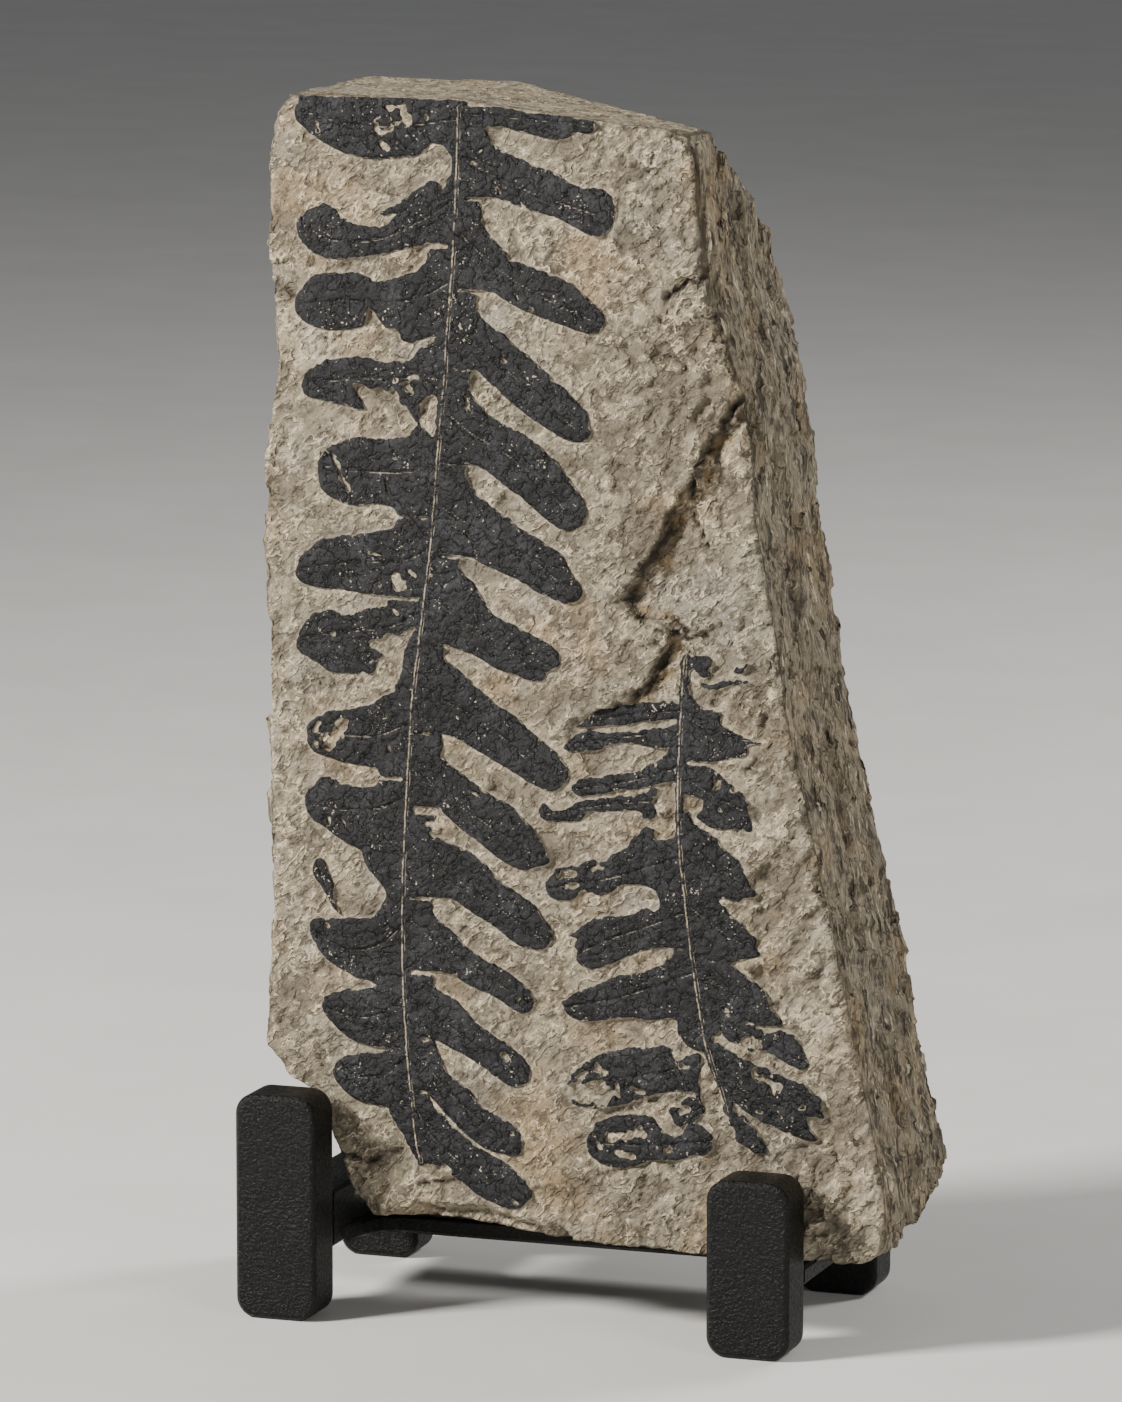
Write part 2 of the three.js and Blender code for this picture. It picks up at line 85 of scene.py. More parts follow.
# Short ledges and cracks on the front, as (points, half width, depth)
CRACKS = [
    ([(93.4, 222), (97.6, 226.6), (100.4, 225.2), (102.4, 229.6)], 0.5, 1.1),
    ([(95, 145.2), (99, 143.6), (103, 144.4)], 0.5, 1.2),
    ([(18, 17.5), (23, 16.3), (28, 18.4), (32, 19.6)], 0.6, 1.0),
    ([(38, 11.8), (46, 13.4), (52, 12.2)], 0.5, 0.9), ([(-4, 222), (1, 219.5), (5, 218.8)], 0.5, 0.7),
    ([(86, 206), (92, 209.5), (99, 207)], 0.4, 0.6), ([(88, 19), (94, 21), (100, 20.4)], 0.5, 0.7),
    ([(69, 70), (73.4, 64.8)], 0.22, 0.4), ([(120.6, 91), (121, 96.6), (122.4, 101.6)], 0.25, 0.5),
    ([(-2, 256.6), (2, 257), (5, 258.6)], 0.3, 0.6), ([(96, 148), (98.4, 145.6)], 0.5, 1.0),
    ([(17.4, 91), (16.4, 88.4)], 0.2, 0.4), ([(20.6, 131.6), (20, 126)], 0.2, 0.35),
    ([(113, 200.5), (109.6, 197.6), (107.6, 193)], 0.6, 1.8),
    ([(103.4, 187.5), (101.4, 182), (99.6, 177)], 0.5, 1.4),
    ([(94.8, 171.5), (92.4, 166), (89.6, 161.5)], 0.45, 1.3),
    ([(95.6, 142), (92.6, 134.8), (88, 129.4)], 0.6, 1.8), ([(97, 175), (101, 171), (103, 165)], 0.3, 0.8),
    ([(86, 150), (90, 146.4), (94, 144.6)], 0.3, 0.9),
]
CHIP = [(69, 258.4), (71, 260.2), (74.6, 259.6), (74.4, 257.4), (72.6, 255.8), (70, 256.6)]
CHIP_HEIGHT = 0.8

# Soft zones of the front with a rustier or a paler stone, as (u, v, reach)
RUSTY_ZONES = [
    (74, 226, 12), (53, 127, 8), (63, 30, 11), (70, 14, 9), (17, 60, 10), (98, 174, 8), (3, 241, 9),
    (70, 142, 11),
]
PALE_ZONES = [
    (141, 76, 11), (137, 56, 12), (104, 254, 8), (2, 115, 10), (31, 93, 8), (3, 211, 9), (150, 21, 10),
]

# Stems of the two fronds from the top down, and half the width of the film that lies along them
LARGE_STEM = [
    (41.6, 268), (41.4, 247), (40.9, 229), (40.1, 213), (39.2, 196.5), (38, 178), (36.7, 159), (34.9, 140),
    (33.4, 126), (32.4, 105), (32, 86), (32.2, 65), (33.3, 50), (34.8, 36), (36.6, 22), (37.8, 17),
]
LARGE_STEM_HALF = 1.5
SMALL_STEM = [
    (99.3, 138.8), (99, 129), (98.8, 120), (99.4, 106), (100.2, 94.5), (101.8, 83), (103.5, 71.5),
    (105.5, 60), (107.6, 50.5), (109.6, 44.5), (112, 38), (114, 32),
]
SMALL_STEM_HALF = 1.1

# Pinnules that grow from a stem, as (free edge from the upper sinus round the tip to the lower sinus, midrib)
LARGE_RIGHT = [
    ([(42, 264.8), (47, 264.6), (54, 264.4), (60, 263.8), (66, 263.3), (71, 263.2), (73.8, 262.6),
      (75, 260.8), (73.4, 259.4), (70.4, 259.5), (68, 258.2), (64.6, 257.8), (60, 258.6), (56, 259.4),
      (52.4, 260.3), (48, 260.2), (47.4, 259)], [(41.5, 263), (58, 262.2), (73, 261)]),
    ([(47.6, 259.6), (49.4, 256.8), (51.6, 255), (55.1, 253.6), (59.4, 251.8), (63.7, 250.7),
      (66.6, 249.6), (70, 247.5), (73, 246.9), (76.6, 246.8), (79.2, 245), (80.2, 241.6), (79.4, 238),
      (76.8, 235.6), (73.7, 236.2), (68.7, 238.6), (64.4, 240.2), (57.3, 241.8), (50.9, 243.9),
      (46.4, 243.8)], [(41.5, 253.4), (50, 249), (62, 244.6), (76, 240.6)]),
    ([(46.5, 243), (47.4, 240), (47.6, 237.4), (49, 235.2), (51.4, 233.2), (53.6, 231.2), (54.6, 229.6),
      (58, 228.8), (63, 227.1), (66.6, 226), (69.6, 224.8), (72.4, 222.8), (75.2, 220.6), (77.4, 218.8),
      (78.4, 216.4), (77.4, 213.9), (75, 213.2), (71.6, 213.9), (68, 215), (62, 216.8), (56.6, 218.7),
      (53, 220.6), (50, 222.1), (47.4, 222.2)], [(41.3, 236), (50, 228.6), (62, 221.6), (75, 216.4)]),
    ([(46.8, 221.6), (46.4, 219), (46.8, 217), (48.4, 215.5), (51, 213.6), (53.8, 212), (56.7, 209.6),
      (59.5, 207.8), (62.4, 205.4), (66, 202.2), (68.4, 201), (71, 198.3), (73.8, 195.4), (75.5, 192),
      (75.1, 189.4), (73, 187.9), (70.1, 188.3), (67.3, 189.4), (63.7, 191.5), (60.1, 193.7),
      (55.9, 196.6), (52.3, 199.4), (49.4, 201.9), (46.6, 203.8)], [(40.4, 214.5), (48, 208.4),
      (55, 203.6), (62, 198.2), (72, 191)]),
    ([(45.6, 203.2), (44.9, 201), (45.9, 197.6), (48, 195.8), (51, 193.3), (54.5, 191.1), (58.7, 189.7),
      (61.6, 187.9), (65.1, 185.1), (68, 181.9), (70.9, 178.6), (73.7, 175.4), (75, 171.9), (74.1, 169),
      (71.6, 167.3), (68.7, 167.6), (65.9, 169.4), (62.3, 171.9), (59.4, 174.4), (55.9, 176.5),
      (52.3, 179), (49.4, 180.8), (46, 181.9)], [(39.4, 194), (47, 188.6), (56, 184), (64, 178),
      (72, 169.6)]),
    ([(45.5, 181.4), (45.4, 179), (46.6, 176.1), (48.7, 174), (51, 172.6), (54.4, 170.4), (57.3, 168.3),
      (60.9, 166.5), (64.4, 164.7), (68, 162.6), (70.1, 160.4), (71.6, 157.6), (73.7, 154.9),
      (74.4, 152.9), (73, 151.1), (70.1, 150.4), (66.6, 151.5), (62.3, 153.3), (58, 155.6), (53.7, 157.2),
      (50.1, 158.5), (47.6, 159.7), (44.6, 160.2)], [(38.2, 172), (46, 167.6), (54, 163.6), (62, 160.2),
      (71, 153.6)]),
    ([(43.7, 159.5), (43.3, 157.6), (45.2, 155.8), (47, 154.4), (48.8, 152.4), (50.6, 149), (52.4, 147),
      (55.1, 145.8), (58.7, 144.4), (62.3, 142.6), (65.9, 141.1), (68, 139.7), (69.4, 137), (68.4, 135.1),
      (66.6, 134.4), (65.4, 132.4), (62.3, 131.9), (58.7, 133), (54.4, 134.2), (50.9, 135.9),
      (47.3, 137.6), (43.7, 138.4), (41.2, 139.2)], [(36.4, 151.4), (40, 148.3), (45, 145.1), (52, 141.6),
      (60, 138.4), (67, 135.4)]),
    ([(40.9, 138.8), (40.4, 137), (41.2, 135.8), (43.7, 134.1), (46.6, 131.6), (50.1, 128.7),
      (53.7, 126.2), (57.3, 124.1), (60.9, 121.2), (64.4, 118.7), (67.3, 116.6), (70.1, 114.4),
      (71.9, 111.6), (71.6, 109.4), (70.1, 107.3), (67.6, 106.4), (64.4, 107.3), (60.1, 109.4),
      (55.9, 111.6), (51.6, 113.7), (48, 115.5), (44.4, 117.3), (40.6, 118.4)], [(34.4, 130), (40, 126.6),
      (48, 123), (54.4, 119.1), (61, 114), (69, 109.4)]),
    ([(40.1, 118), (40.6, 115.1), (40.2, 113), (42.3, 111.2), (44.4, 110.1), (48, 107.6), (51.6, 105.1),
      (55.1, 103.7), (58.7, 101.9), (61.6, 99.4), (63.7, 97.3), (65.9, 94.4), (67.3, 91.6), (67.6, 89.4),
      (64.4, 88.4), (61.6, 87.6), (58, 88.7), (54.4, 90.5), (50.9, 93), (47.3, 95.1), (44.4, 97.3),
      (41.6, 99.6), (39.9, 101)], [(33, 111), (36, 108.7), (41, 104.4), (48, 100.1), (55, 96.2),
      (65, 90.6)]),
    ([(39.4, 99), (38.2, 96), (38.4, 94.4), (40.9, 93.7), (44.4, 92.3), (48, 90.9), (51.6, 88.7),
      (55.1, 85.1), (58.7, 83), (62.3, 80.9), (65.1, 78.7), (67.3, 75.9), (69.2, 72.8), (68.4, 70.6),
      (66.6, 69.1), (63.7, 69.4), (60.9, 69.8), (57.3, 71.9), (53.7, 74.4), (49.4, 76.6), (45.9, 78.7),
      (43, 79.8), (39.4, 79.6)], [(33, 92.2), (39.4, 87.3), (46, 83.7), (55, 78.6), (67, 71.2)]),
    ([(38.7, 79.1), (39.1, 76.6), (40.1, 75), (42.3, 73.3), (45.4, 71), (48, 68.3), (50.9, 66.7),
      (54.4, 65), (58, 63.4), (60.9, 61.4), (63.4, 59.5), (64.5, 57.4), (64.4, 55.2), (62.6, 53.9),
      (60.1, 54.5), (56.6, 56.6), (53, 58.2), (49.4, 59.2), (46.6, 60.7), (43.7, 62), (40, 62.2)],
      [(32.4, 75), (40, 69.4), (48, 64.8), (56, 60.6), (63, 55.6)]),
    ([(39.4, 61.3), (39.9, 59.1), (41.1, 57.7), (43.7, 56.5), (46.6, 54.9), (49.4, 52), (52.3, 49.9),
      (55.1, 48.1), (58.7, 46.3), (60.9, 44.5), (63, 42.7), (64.4, 40.6), (64.1, 38.1), (61.6, 36.6),
      (58.7, 37), (55.1, 39.1), (51.6, 41.3), (48, 43.1), (44.4, 44.5), (40.6, 46.2)], [(33.2, 56),
      (42.3, 50.6), (49.4, 46.3), (56.6, 42.7), (62, 38.6)]),
    ([(40.1, 45.9), (40.9, 44), (42.4, 41.2), (44.4, 37.8), (47.3, 36.3), (49.4, 34.9), (51.6, 32),
      (54.4, 29.9), (58, 28.8), (60.9, 27), (62.6, 24.2), (62.6, 21.6), (60.9, 19.9), (58, 20.3),
      (55.1, 20.9), (52.4, 22), (48.4, 24.6), (44.8, 27.8), (41.2, 31.2), (38.6, 34)], [(34, 44.2),
      (38.7, 39.9), (45.1, 33.4), (52, 28), (60, 22.4)]),
    ([(38.4, 33.2), (40.8, 30.4), (44.3, 27.1), (47.9, 23.9), (51.6, 21.3), (55.1, 19.9), (57.3, 18.8),
      (60.1, 17.4), (63, 14.9), (65.1, 12), (64.8, 9.1), (62.3, 7.8), (59.4, 7.6), (55.9, 8.6), (52.3, 10),
      (49.4, 12), (45.9, 14.1), (42.6, 16.2), (39.8, 16.6), (37.8, 17.2)], [(36, 30), (40.1, 23.4),
      (48, 17), (56, 12.4), (63, 9)]),
]
LARGE_LEFT = [
    ([(41.2, 267.4), (35, 267.4), (20, 267.4), (10, 267.4), (3, 267.2), (1.2, 265), (0.4, 262.5),
      (1, 260.3), (2.8, 258.8), (5, 257), (9, 254.8), (12, 253.4), (16, 252.4), (20, 251.9), (24, 252),
      (28, 252.6), (31.5, 253), (33.2, 254.5), (34.6, 256), (37.5, 255.4), (39.4, 253.4), (40.4, 251.4)],
      [(41.4, 261.6), (30, 260), (16, 259.4), (4, 262)]),
    ([(40.4, 249.8), (38.9, 247), (37.2, 245.2), (36.2, 246.8), (35, 247.4), (33.2, 246), (30, 244),
      (27.4, 242.2), (25, 240.6), (22.6, 239), (26.4, 239.4), (25.4, 238), (24.6, 236.6), (22, 236),
      (18, 236.2), (14.5, 237.2), (12.2, 238.6), (11.2, 239.9), (9.5, 240.9), (8, 241.3), (6, 240.2),
      (4.5, 239.2), (2.6, 238), (1.6, 236.2), (2.2, 233.6), (3.4, 231.6), (5.6, 229.8), (8.5, 228.7),
      (12, 228.3), (17, 228.8), (21, 229.4), (25, 230.2), (28, 231), (32, 232), (34.6, 232.8)], [(41, 243),
      (32, 237.4), (22, 233), (12, 232.4), (5, 235)]),
    ([(34.7, 231.6), (33.8, 229), (32.2, 226.6), (28, 225), (24, 223.8), (21, 223.6), (19.6, 224.6),
      (17, 225.2), (12, 225.2), (8, 224.8), (5.5, 223.6), (3.6, 221.6), (2, 219.6), (1.6, 217),
      (2.6, 214.8), (4.6, 213), (8, 211.8), (13, 211.6), (17, 212.4), (18.8, 213), (19.4, 215),
      (19.9, 217.2), (21.4, 216.4), (23.6, 213.6), (24.8, 212.4), (27.4, 212.2), (28.7, 210),
      (31.6, 209.4), (34.2, 210.6), (36.4, 211.4)], [(40.6, 224), (33, 220), (25, 218.6), (12, 218.4),
      (3, 217)]),
    ([(36.4, 211), (36, 209.6), (34.6, 208.9), (32.6, 208), (31, 205.9), (28, 205), (24, 204.8),
      (20, 205.4), (16, 205.6), (12, 205), (9, 204.2), (6.5, 202.8), (4.6, 201.4), (3.8, 199.6),
      (3.8, 197.6), (5, 196), (8, 195.3), (12, 194.6), (15, 194.1), (18.4, 193.2), (19.6, 193.6),
      (18.4, 195.6), (16.8, 197.6), (16.4, 199.2), (19, 199.3), (20.8, 198.2), (23.4, 199), (25, 197.8),
      (26.4, 198.8), (28, 197.2), (28.4, 195), (30, 194.2), (31.4, 192.2), (33, 190.6), (33, 193.2),
      (33.8, 196.2), (36, 197.4), (38, 196.4)], [(39.6, 203), (30, 201), (18, 200.4), (6, 199)]),
    ([(38, 187.8), (36, 188.2), (34.6, 189.6), (33, 190.4), (31.4, 189), (30.4, 187.6), (27, 187),
      (22, 186.8), (17, 186.8), (13.6, 185.4), (11, 184.6), (9.4, 182.6), (8.2, 180.4), (8.2, 177),
      (9.4, 174.2), (11.5, 172.6), (15, 171.2), (18, 170.8), (22, 171.4), (25, 171.2), (27, 170.8),
      (28.2, 169)], [(38.6, 181), (30, 179), (18, 178.8), (10, 179.6)]),
    ([(28.4, 168.4), (27.4, 166), (24.6, 165.2), (20, 164.4), (17, 163.6), (14, 163.8), (12, 162.6),
      (9.6, 163), (8, 161.6), (6.2, 160), (4.6, 158.8), (3.6, 156.6), (3, 154.2), (4, 152.6), (6, 151.6),
      (10, 151), (14, 151), (18, 150.4), (22, 150.2), (25.2, 150)], [(37.2, 162), (30, 158.4), (16, 157.2),
      (5, 155.4)]),
    ([(26, 149.2), (26.4, 147.8), (23, 147.4), (20, 146.4), (16, 145), (12, 146), (9, 145.4), (6.6, 144),
      (5, 142), (3.8, 139.6), (3.6, 137), (4.8, 135.4), (6.6, 134.4), (9, 133.4), (10.6, 132.2), (13, 131),
      (16, 131.4), (19, 131), (20, 132), (22, 131.2), (23.4, 132.6), (24, 134.8), (25.4, 136),
      (23.4, 137.4), (21.2, 138.6), (22.6, 139.6), (25, 140), (26.8, 141.4), (29, 140.8), (31.4, 142.2),
      (33.8, 143.6)], [(35.6, 147), (27, 142.6), (16, 141), (5, 139)]),
    ([(33.8, 143), (32.4, 141), (31.2, 138), (30.4, 134), (29.8, 131.2), (28.6, 128.6), (29.4, 127.4)],
      None),
    ([(29.4, 128), (26.6, 126.6), (24, 125.2), (21.6, 124.2), (18, 123), (15.1, 122.5), (12.6, 122.4),
      (10.8, 121.2), (8.6, 120.4), (7, 118), (7, 115), (8.4, 112.8), (10.6, 111.8), (13, 111.2),
      (16, 110.4), (20, 109.8), (24, 109.4), (25.4, 107.6)], [(33.8, 121), (24.4, 116.9), (16, 116.6),
      (10, 115.6)]),
    ([(25.4, 106.8), (24, 105.2), (21, 104.6), (17, 105), (14, 106.2), (11.4, 106.6), (9.4, 105),
      (7.4, 103), (6.6, 100.4), (7.4, 98), (9.4, 96), (11.6, 95), (14, 93.4), (17, 91.4), (19, 90.8),
      (21, 89.8), (21.8, 88), (23.2, 85), (26.4, 81.8), (27.4, 79.4), (26.6, 77.4)], [(33, 104), (26, 100),
      (16, 99), (8, 100)]),
    ([(26.8, 77.6), (25.6, 75.8), (24.2, 74.2), (20, 73.6), (14, 73.3), (10, 73), (8.8, 71.6), (8.8, 69.6),
      (10, 67), (11.6, 65), (14, 62.8), (17.6, 61), (20.4, 59.6), (24, 58.9), (25.8, 58)], [(32.4, 73),
      (26, 67.6), (18, 66), (10, 69.6)]),
    ([(25.8, 57.9), (21, 56.8), (17, 56.3), (14.4, 55.6), (12.4, 53.8), (12, 51.8), (13.6, 49.4), (16, 47),
      (19, 45), (22, 43.9), (26, 43.4), (28.8, 43.5)], [(33, 56), (27, 51.4), (20, 50), (13, 52)]),
    ([(29, 43.2), (26, 42), (22, 41.6), (18.6, 41), (16.2, 39.6), (15, 37.4), (15.8, 34.8), (18, 32.6),
      (20.6, 30.8), (24, 29.9), (27.4, 29.5)], [(34, 42), (29, 37.4), (22, 36), (16, 37.6)]),
    ([(28.8, 29.4), (29.6, 27.8), (30.8, 26), (32.6, 23.6), (34.4, 20.4), (35.6, 18.4), (37.4, 17.2)],
      None),
]
SMALL_LEFT = [
    ([(97.8, 128.4), (96.3, 128.8), (93.3, 128.5), (88.7, 128.1), (84, 127.3), (79.3, 126), (76.3, 124.4),
      (74.7, 123), (73, 121.5), (76.7, 121.9), (80.7, 122.3), (85.3, 122.8), (90, 123.8), (93.3, 124.2),
      (97.3, 125)], [(99, 126.6), (88, 125.4), (76, 122.8)]),
    ([(98.4, 123.6), (95.3, 122.6), (90, 121.9), (84, 121), (77.3, 120.8), (73.3, 120), (71.3, 118),
      (70.7, 116.7), (72, 116), (75.3, 116.1), (79.3, 116.7), (81.3, 118), (84.7, 118.5), (90, 118.3),
      (93.3, 117.7), (95, 118)], [(99, 121.6), (86, 120), (73, 117.4)]),
    ([(95.6, 118), (95.6, 116.6), (94.4, 115.6), (91.3, 113.4), (88.7, 112.1), (84, 111.3), (80.7, 110.4),
      (76, 109.7), (73.3, 108.7), (72.7, 107.3), (74.7, 105.8), (78, 106.1), (82, 107), (86, 107.9),
      (90, 108.4), (94, 109.6), (97.3, 110.4)], [(99, 113.6), (88, 110), (74, 107.2)]),
    ([(98.6, 97.6), (96.8, 97.2), (94, 96.6), (93.2, 97.7), (93, 99), (91, 99.3), (89.8, 97.4),
      (88.2, 96.4), (86.7, 94.4), (84.4, 93), (82.4, 92.2), (81.3, 90.6), (78.7, 91), (76.7, 90.3),
      (75.3, 89.3), (73.3, 89.3), (70, 88.7), (68.7, 87), (67.7, 85.7), (67.3, 83.7), (68, 82),
      (69.3, 81.2), (72, 81), (74, 81.4), (76, 83.6), (78, 83.3), (80.7, 82.9), (83.3, 83.8), (86, 85.5),
      (88.7, 86), (91.3, 85.8), (94, 84.8), (95.2, 82.6), (95.4, 80.6)], [(100.6, 93), (92, 90),
      (82, 86.6), (70, 84)]),
    ([(97, 81.4), (95.3, 80.7), (94, 80.2), (92, 80.6), (88.7, 79.2), (85.3, 78.4), (81.3, 77.7),
      (78.7, 76.7), (76.3, 75.3), (74.7, 73.8), (73, 72.8), (75.3, 72.2), (74.6, 70.8), (75.7, 69.8),
      (75.1, 67.5), (76.3, 66), (78.7, 65.3), (81.3, 66), (84, 67), (86, 68.2), (90, 70), (93.3, 71),
      (96.7, 71.7), (99, 71.8)], [(101.8, 80), (92, 76), (82, 72), (76, 69)]),
    ([(99.4, 71.2), (98.3, 69.2), (95.3, 67.5), (92.7, 66.2), (88.7, 65), (84, 63.7), (81.3, 62.4),
      (78.7, 60.8), (75.3, 59.7), (73, 58.3), (71.7, 57), (72.3, 55.3), (74, 53.7), (76.7, 53.1),
      (80, 53.2), (84, 54), (88.7, 54.7), (92, 54.4), (95.3, 54.6), (98.4, 55.4), (100.4, 54.6),
      (100.4, 52), (102, 50), (103.6, 48.7), (105.4, 48.2)], [(104, 66), (94, 62), (84, 58.6), (73, 56)]),
]
SMALL_RIGHT = [
    ([(100.4, 131.6), (101, 130), (102, 128.7), (104.7, 127.4), (108.4, 127), (107.8, 125.6), (108.7, 124),
      (111.3, 122.7), (114.7, 121.4), (117.4, 120.6), (118.6, 120.2), (115.3, 119.7), (115.2, 118.2),
      (114.8, 117), (112, 116.7), (110, 116), (108, 115.7), (106, 115.2)], [(99.1, 126), (107, 122),
      (117, 120.5)]),
    ([(106, 114.4), (108, 113.3), (110, 111.7), (112.7, 109.8), (115.3, 108), (116.8, 106.1),
      (115.8, 105.2), (116.4, 103.3), (117.5, 100), (115.3, 100.1), (112.7, 100.3), (110, 100),
      (107.3, 100.3), (105.3, 101.2), (103.6, 102.6), (105, 104.4), (105, 106.6), (102.6, 107.2),
      (101.2, 107.6)], [(99.3, 112), (108, 107.4), (116, 104.4)]),
    ([(101.4, 103.6), (102.4, 102), (103.3, 100.8), (106, 99.3), (108.7, 97.7), (110.7, 95.4),
      (113.3, 94.3), (114.8, 92.4), (115.2, 90.6), (116.6, 88.6), (117.4, 87.2), (118.3, 84.9),
      (115.3, 84.4), (114.6, 83.3), (112, 83.7), (109.4, 83.6)], [(100.4, 98), (108, 91.6), (117, 86)]),
    ([(109, 84), (110, 82.7), (112.7, 80.1), (115.3, 78), (117.3, 76.1), (119, 74.2), (118.6, 73),
      (119.6, 71), (117.3, 70.3), (115.3, 69.7), (112.6, 69)], [(102, 82), (110, 76.6), (118.4, 72)]),
    ([(111.4, 69.2), (114, 68.1), (116, 66.4), (118.7, 64.8), (120.7, 63.3), (122.3, 61.8), (122.2, 60),
      (124, 58.3), (125.8, 55.2), (123.3, 55.2), (120.7, 55), (118.7, 55.4), (115.3, 56), (112.4, 57)],
      [(104.6, 67), (113, 62), (124, 56.4)]),
    ([(112, 57), (115.4, 55.8), (119.3, 54.8), (122, 53.5), (125.3, 54.2), (127.7, 53.2), (129.3, 52.3),
      (130.7, 50.3), (131.8, 48), (132.6, 46.5), (131, 45.4), (128.7, 46), (126, 47.2), (123.4, 48.6),
      (120.4, 49.4), (118.6, 48.8), (116, 50), (113.4, 50.6), (111.8, 52)], [(107, 58), (118, 52.6),
      (131, 46.8)]),
    ([(110.6, 50.4), (112.4, 49.2), (115.3, 47.6), (118.7, 46.1), (122, 45.3), (125.3, 44), (128.7, 42.7),
      (131.3, 42.1), (134, 40), (135.8, 38.7), (135.7, 36.4), (136.3, 34.4), (134, 34.4), (132, 34.1),
      (133.3, 31.3), (135, 29), (132, 29), (128.7, 30), (125.3, 31.3), (122, 32.3), (119.3, 33.7),
      (116.7, 35.3), (114.6, 37)], [(108.4, 49), (113, 42.5), (121, 38), (134, 34)]),
    ([(114.2, 36.6), (115.3, 34.4), (117.3, 32.9), (119.3, 31.4), (121.3, 28.8), (123.4, 25.2),
      (121.4, 25.4), (120, 25.1), (118, 26.6), (115.3, 27.7), (115, 30.7), (114, 33)], [(113, 37),
      (117, 31), (120.6, 26.6)]),
]

# Patches of film with a closed outline of their own, again with a midrib or None
SMALL_PATCHES = [
    ([(93.6, 108.6), (91.3, 107.4), (88.7, 106.8), (84, 106.1), (79.3, 105.3), (75.3, 104.7), (73, 103.4),
      (70.7, 102.3), (68.7, 101.6), (67.3, 102.4), (66.2, 103.7), (65, 102.6), (65.3, 100.6), (66.4, 99.6),
      (68.7, 99.3), (72, 99.7), (75.3, 100), (77.3, 102.1), (80, 102.3), (84, 102.7), (87.3, 103.3),
      (90.2, 102.8), (90.8, 101.4), (93.2, 101.5), (93.8, 103.2), (92.6, 105), (93.4, 106.8)],
      [(93, 105.4), (84, 104.4), (67, 101)]),
    ([(106.4, 47), (104.7, 47.6), (102, 46), (100, 45.3), (99.3, 46.8), (98.6, 48.2), (96, 48.8),
      (93.3, 48), (90.7, 47.7), (87.3, 47.1), (84.7, 46.7), (82, 45.8), (79.3, 44.7), (77.3, 42.8),
      (75, 40.8), (74, 38), (74.3, 35.3), (75.3, 33.4), (78.7, 33), (82.7, 32.7), (85.3, 33.7),
      (88.7, 34.4), (91.3, 35.7), (94.7, 37), (98, 37.8), (102, 38.4), (104, 38.4), (105.3, 40),
      (106.3, 42.6), (106.2, 44.8)], [(106, 45), (97, 42.4), (86, 40), (75, 37.4)]),
    ([(105, 39.6), (105.4, 37), (106, 35.4), (106.8, 34.8), (106.4, 37), (106, 39.6)], None),
    ([(99.4, 138.4), (100.4, 139.2), (102, 139.7), (104.7, 139.7), (106, 138.6), (105.6, 137.2),
      (104.2, 136.6), (105.3, 135.3), (103.4, 134.9), (102, 136), (100.8, 136.4), (100.2, 134)], None),
    ([(102, 134.7), (103.3, 134), (104.8, 133.4), (108, 133.9), (111.3, 134.5), (115.3, 134.3),
      (111.3, 133.6), (108.2, 132.6), (106, 132), (104.4, 132.2), (103, 133.2)], None),
    ([(111, 136.3), (111.4, 138), (113, 137.4), (114.8, 138.7), (114, 137), (112.6, 136)], None),
]
LOOSE_PINNULE = [
    ([(78.7, 24), (79, 26), (80, 28), (81.3, 29.6), (84, 30.7), (86.7, 31.7), (90.7, 32.1), (94, 32),
      (95.4, 31), (97, 29.2), (99.6, 27.6), (102.6, 28.6), (103.3, 30.7), (106, 31), (108.7, 29.3),
      (109.8, 27.2), (109.5, 25.3), (108, 23.8), (105.3, 23.7), (102, 22.3), (99.3, 22), (95.3, 21.7),
      (93.3, 21), (90.7, 20), (88, 19.3), (84, 19.3), (81.3, 20.3), (79.3, 22)], [(109, 27), (95, 25),
      (80, 24.4)]),
]
LOW_SCRAP = [
    ([(99, 33.3), (99.4, 34.3), (101.3, 34.4), (102, 36.3), (104, 37.2), (106, 36.6), (107.3, 35),
      (107.6, 33.7), (106, 32.4), (104.7, 31), (102.7, 30.7), (101.7, 30.1), (100, 30.7), (99.7, 32)],
      None),
]
LEFT_SCRAP = [
    ([(9.3, 83.4), (9.4, 85.9), (10.1, 87.2), (11.6, 87.1), (12.6, 85.1), (13.7, 83), (14.4, 80.9),
      (13.9, 78.8), (15.2, 76.4), (17, 73.6), (14.7, 75.6), (13, 78.4), (11.2, 81)], [(10.6, 86),
      (12.4, 81.6), (14.6, 77)]),
]

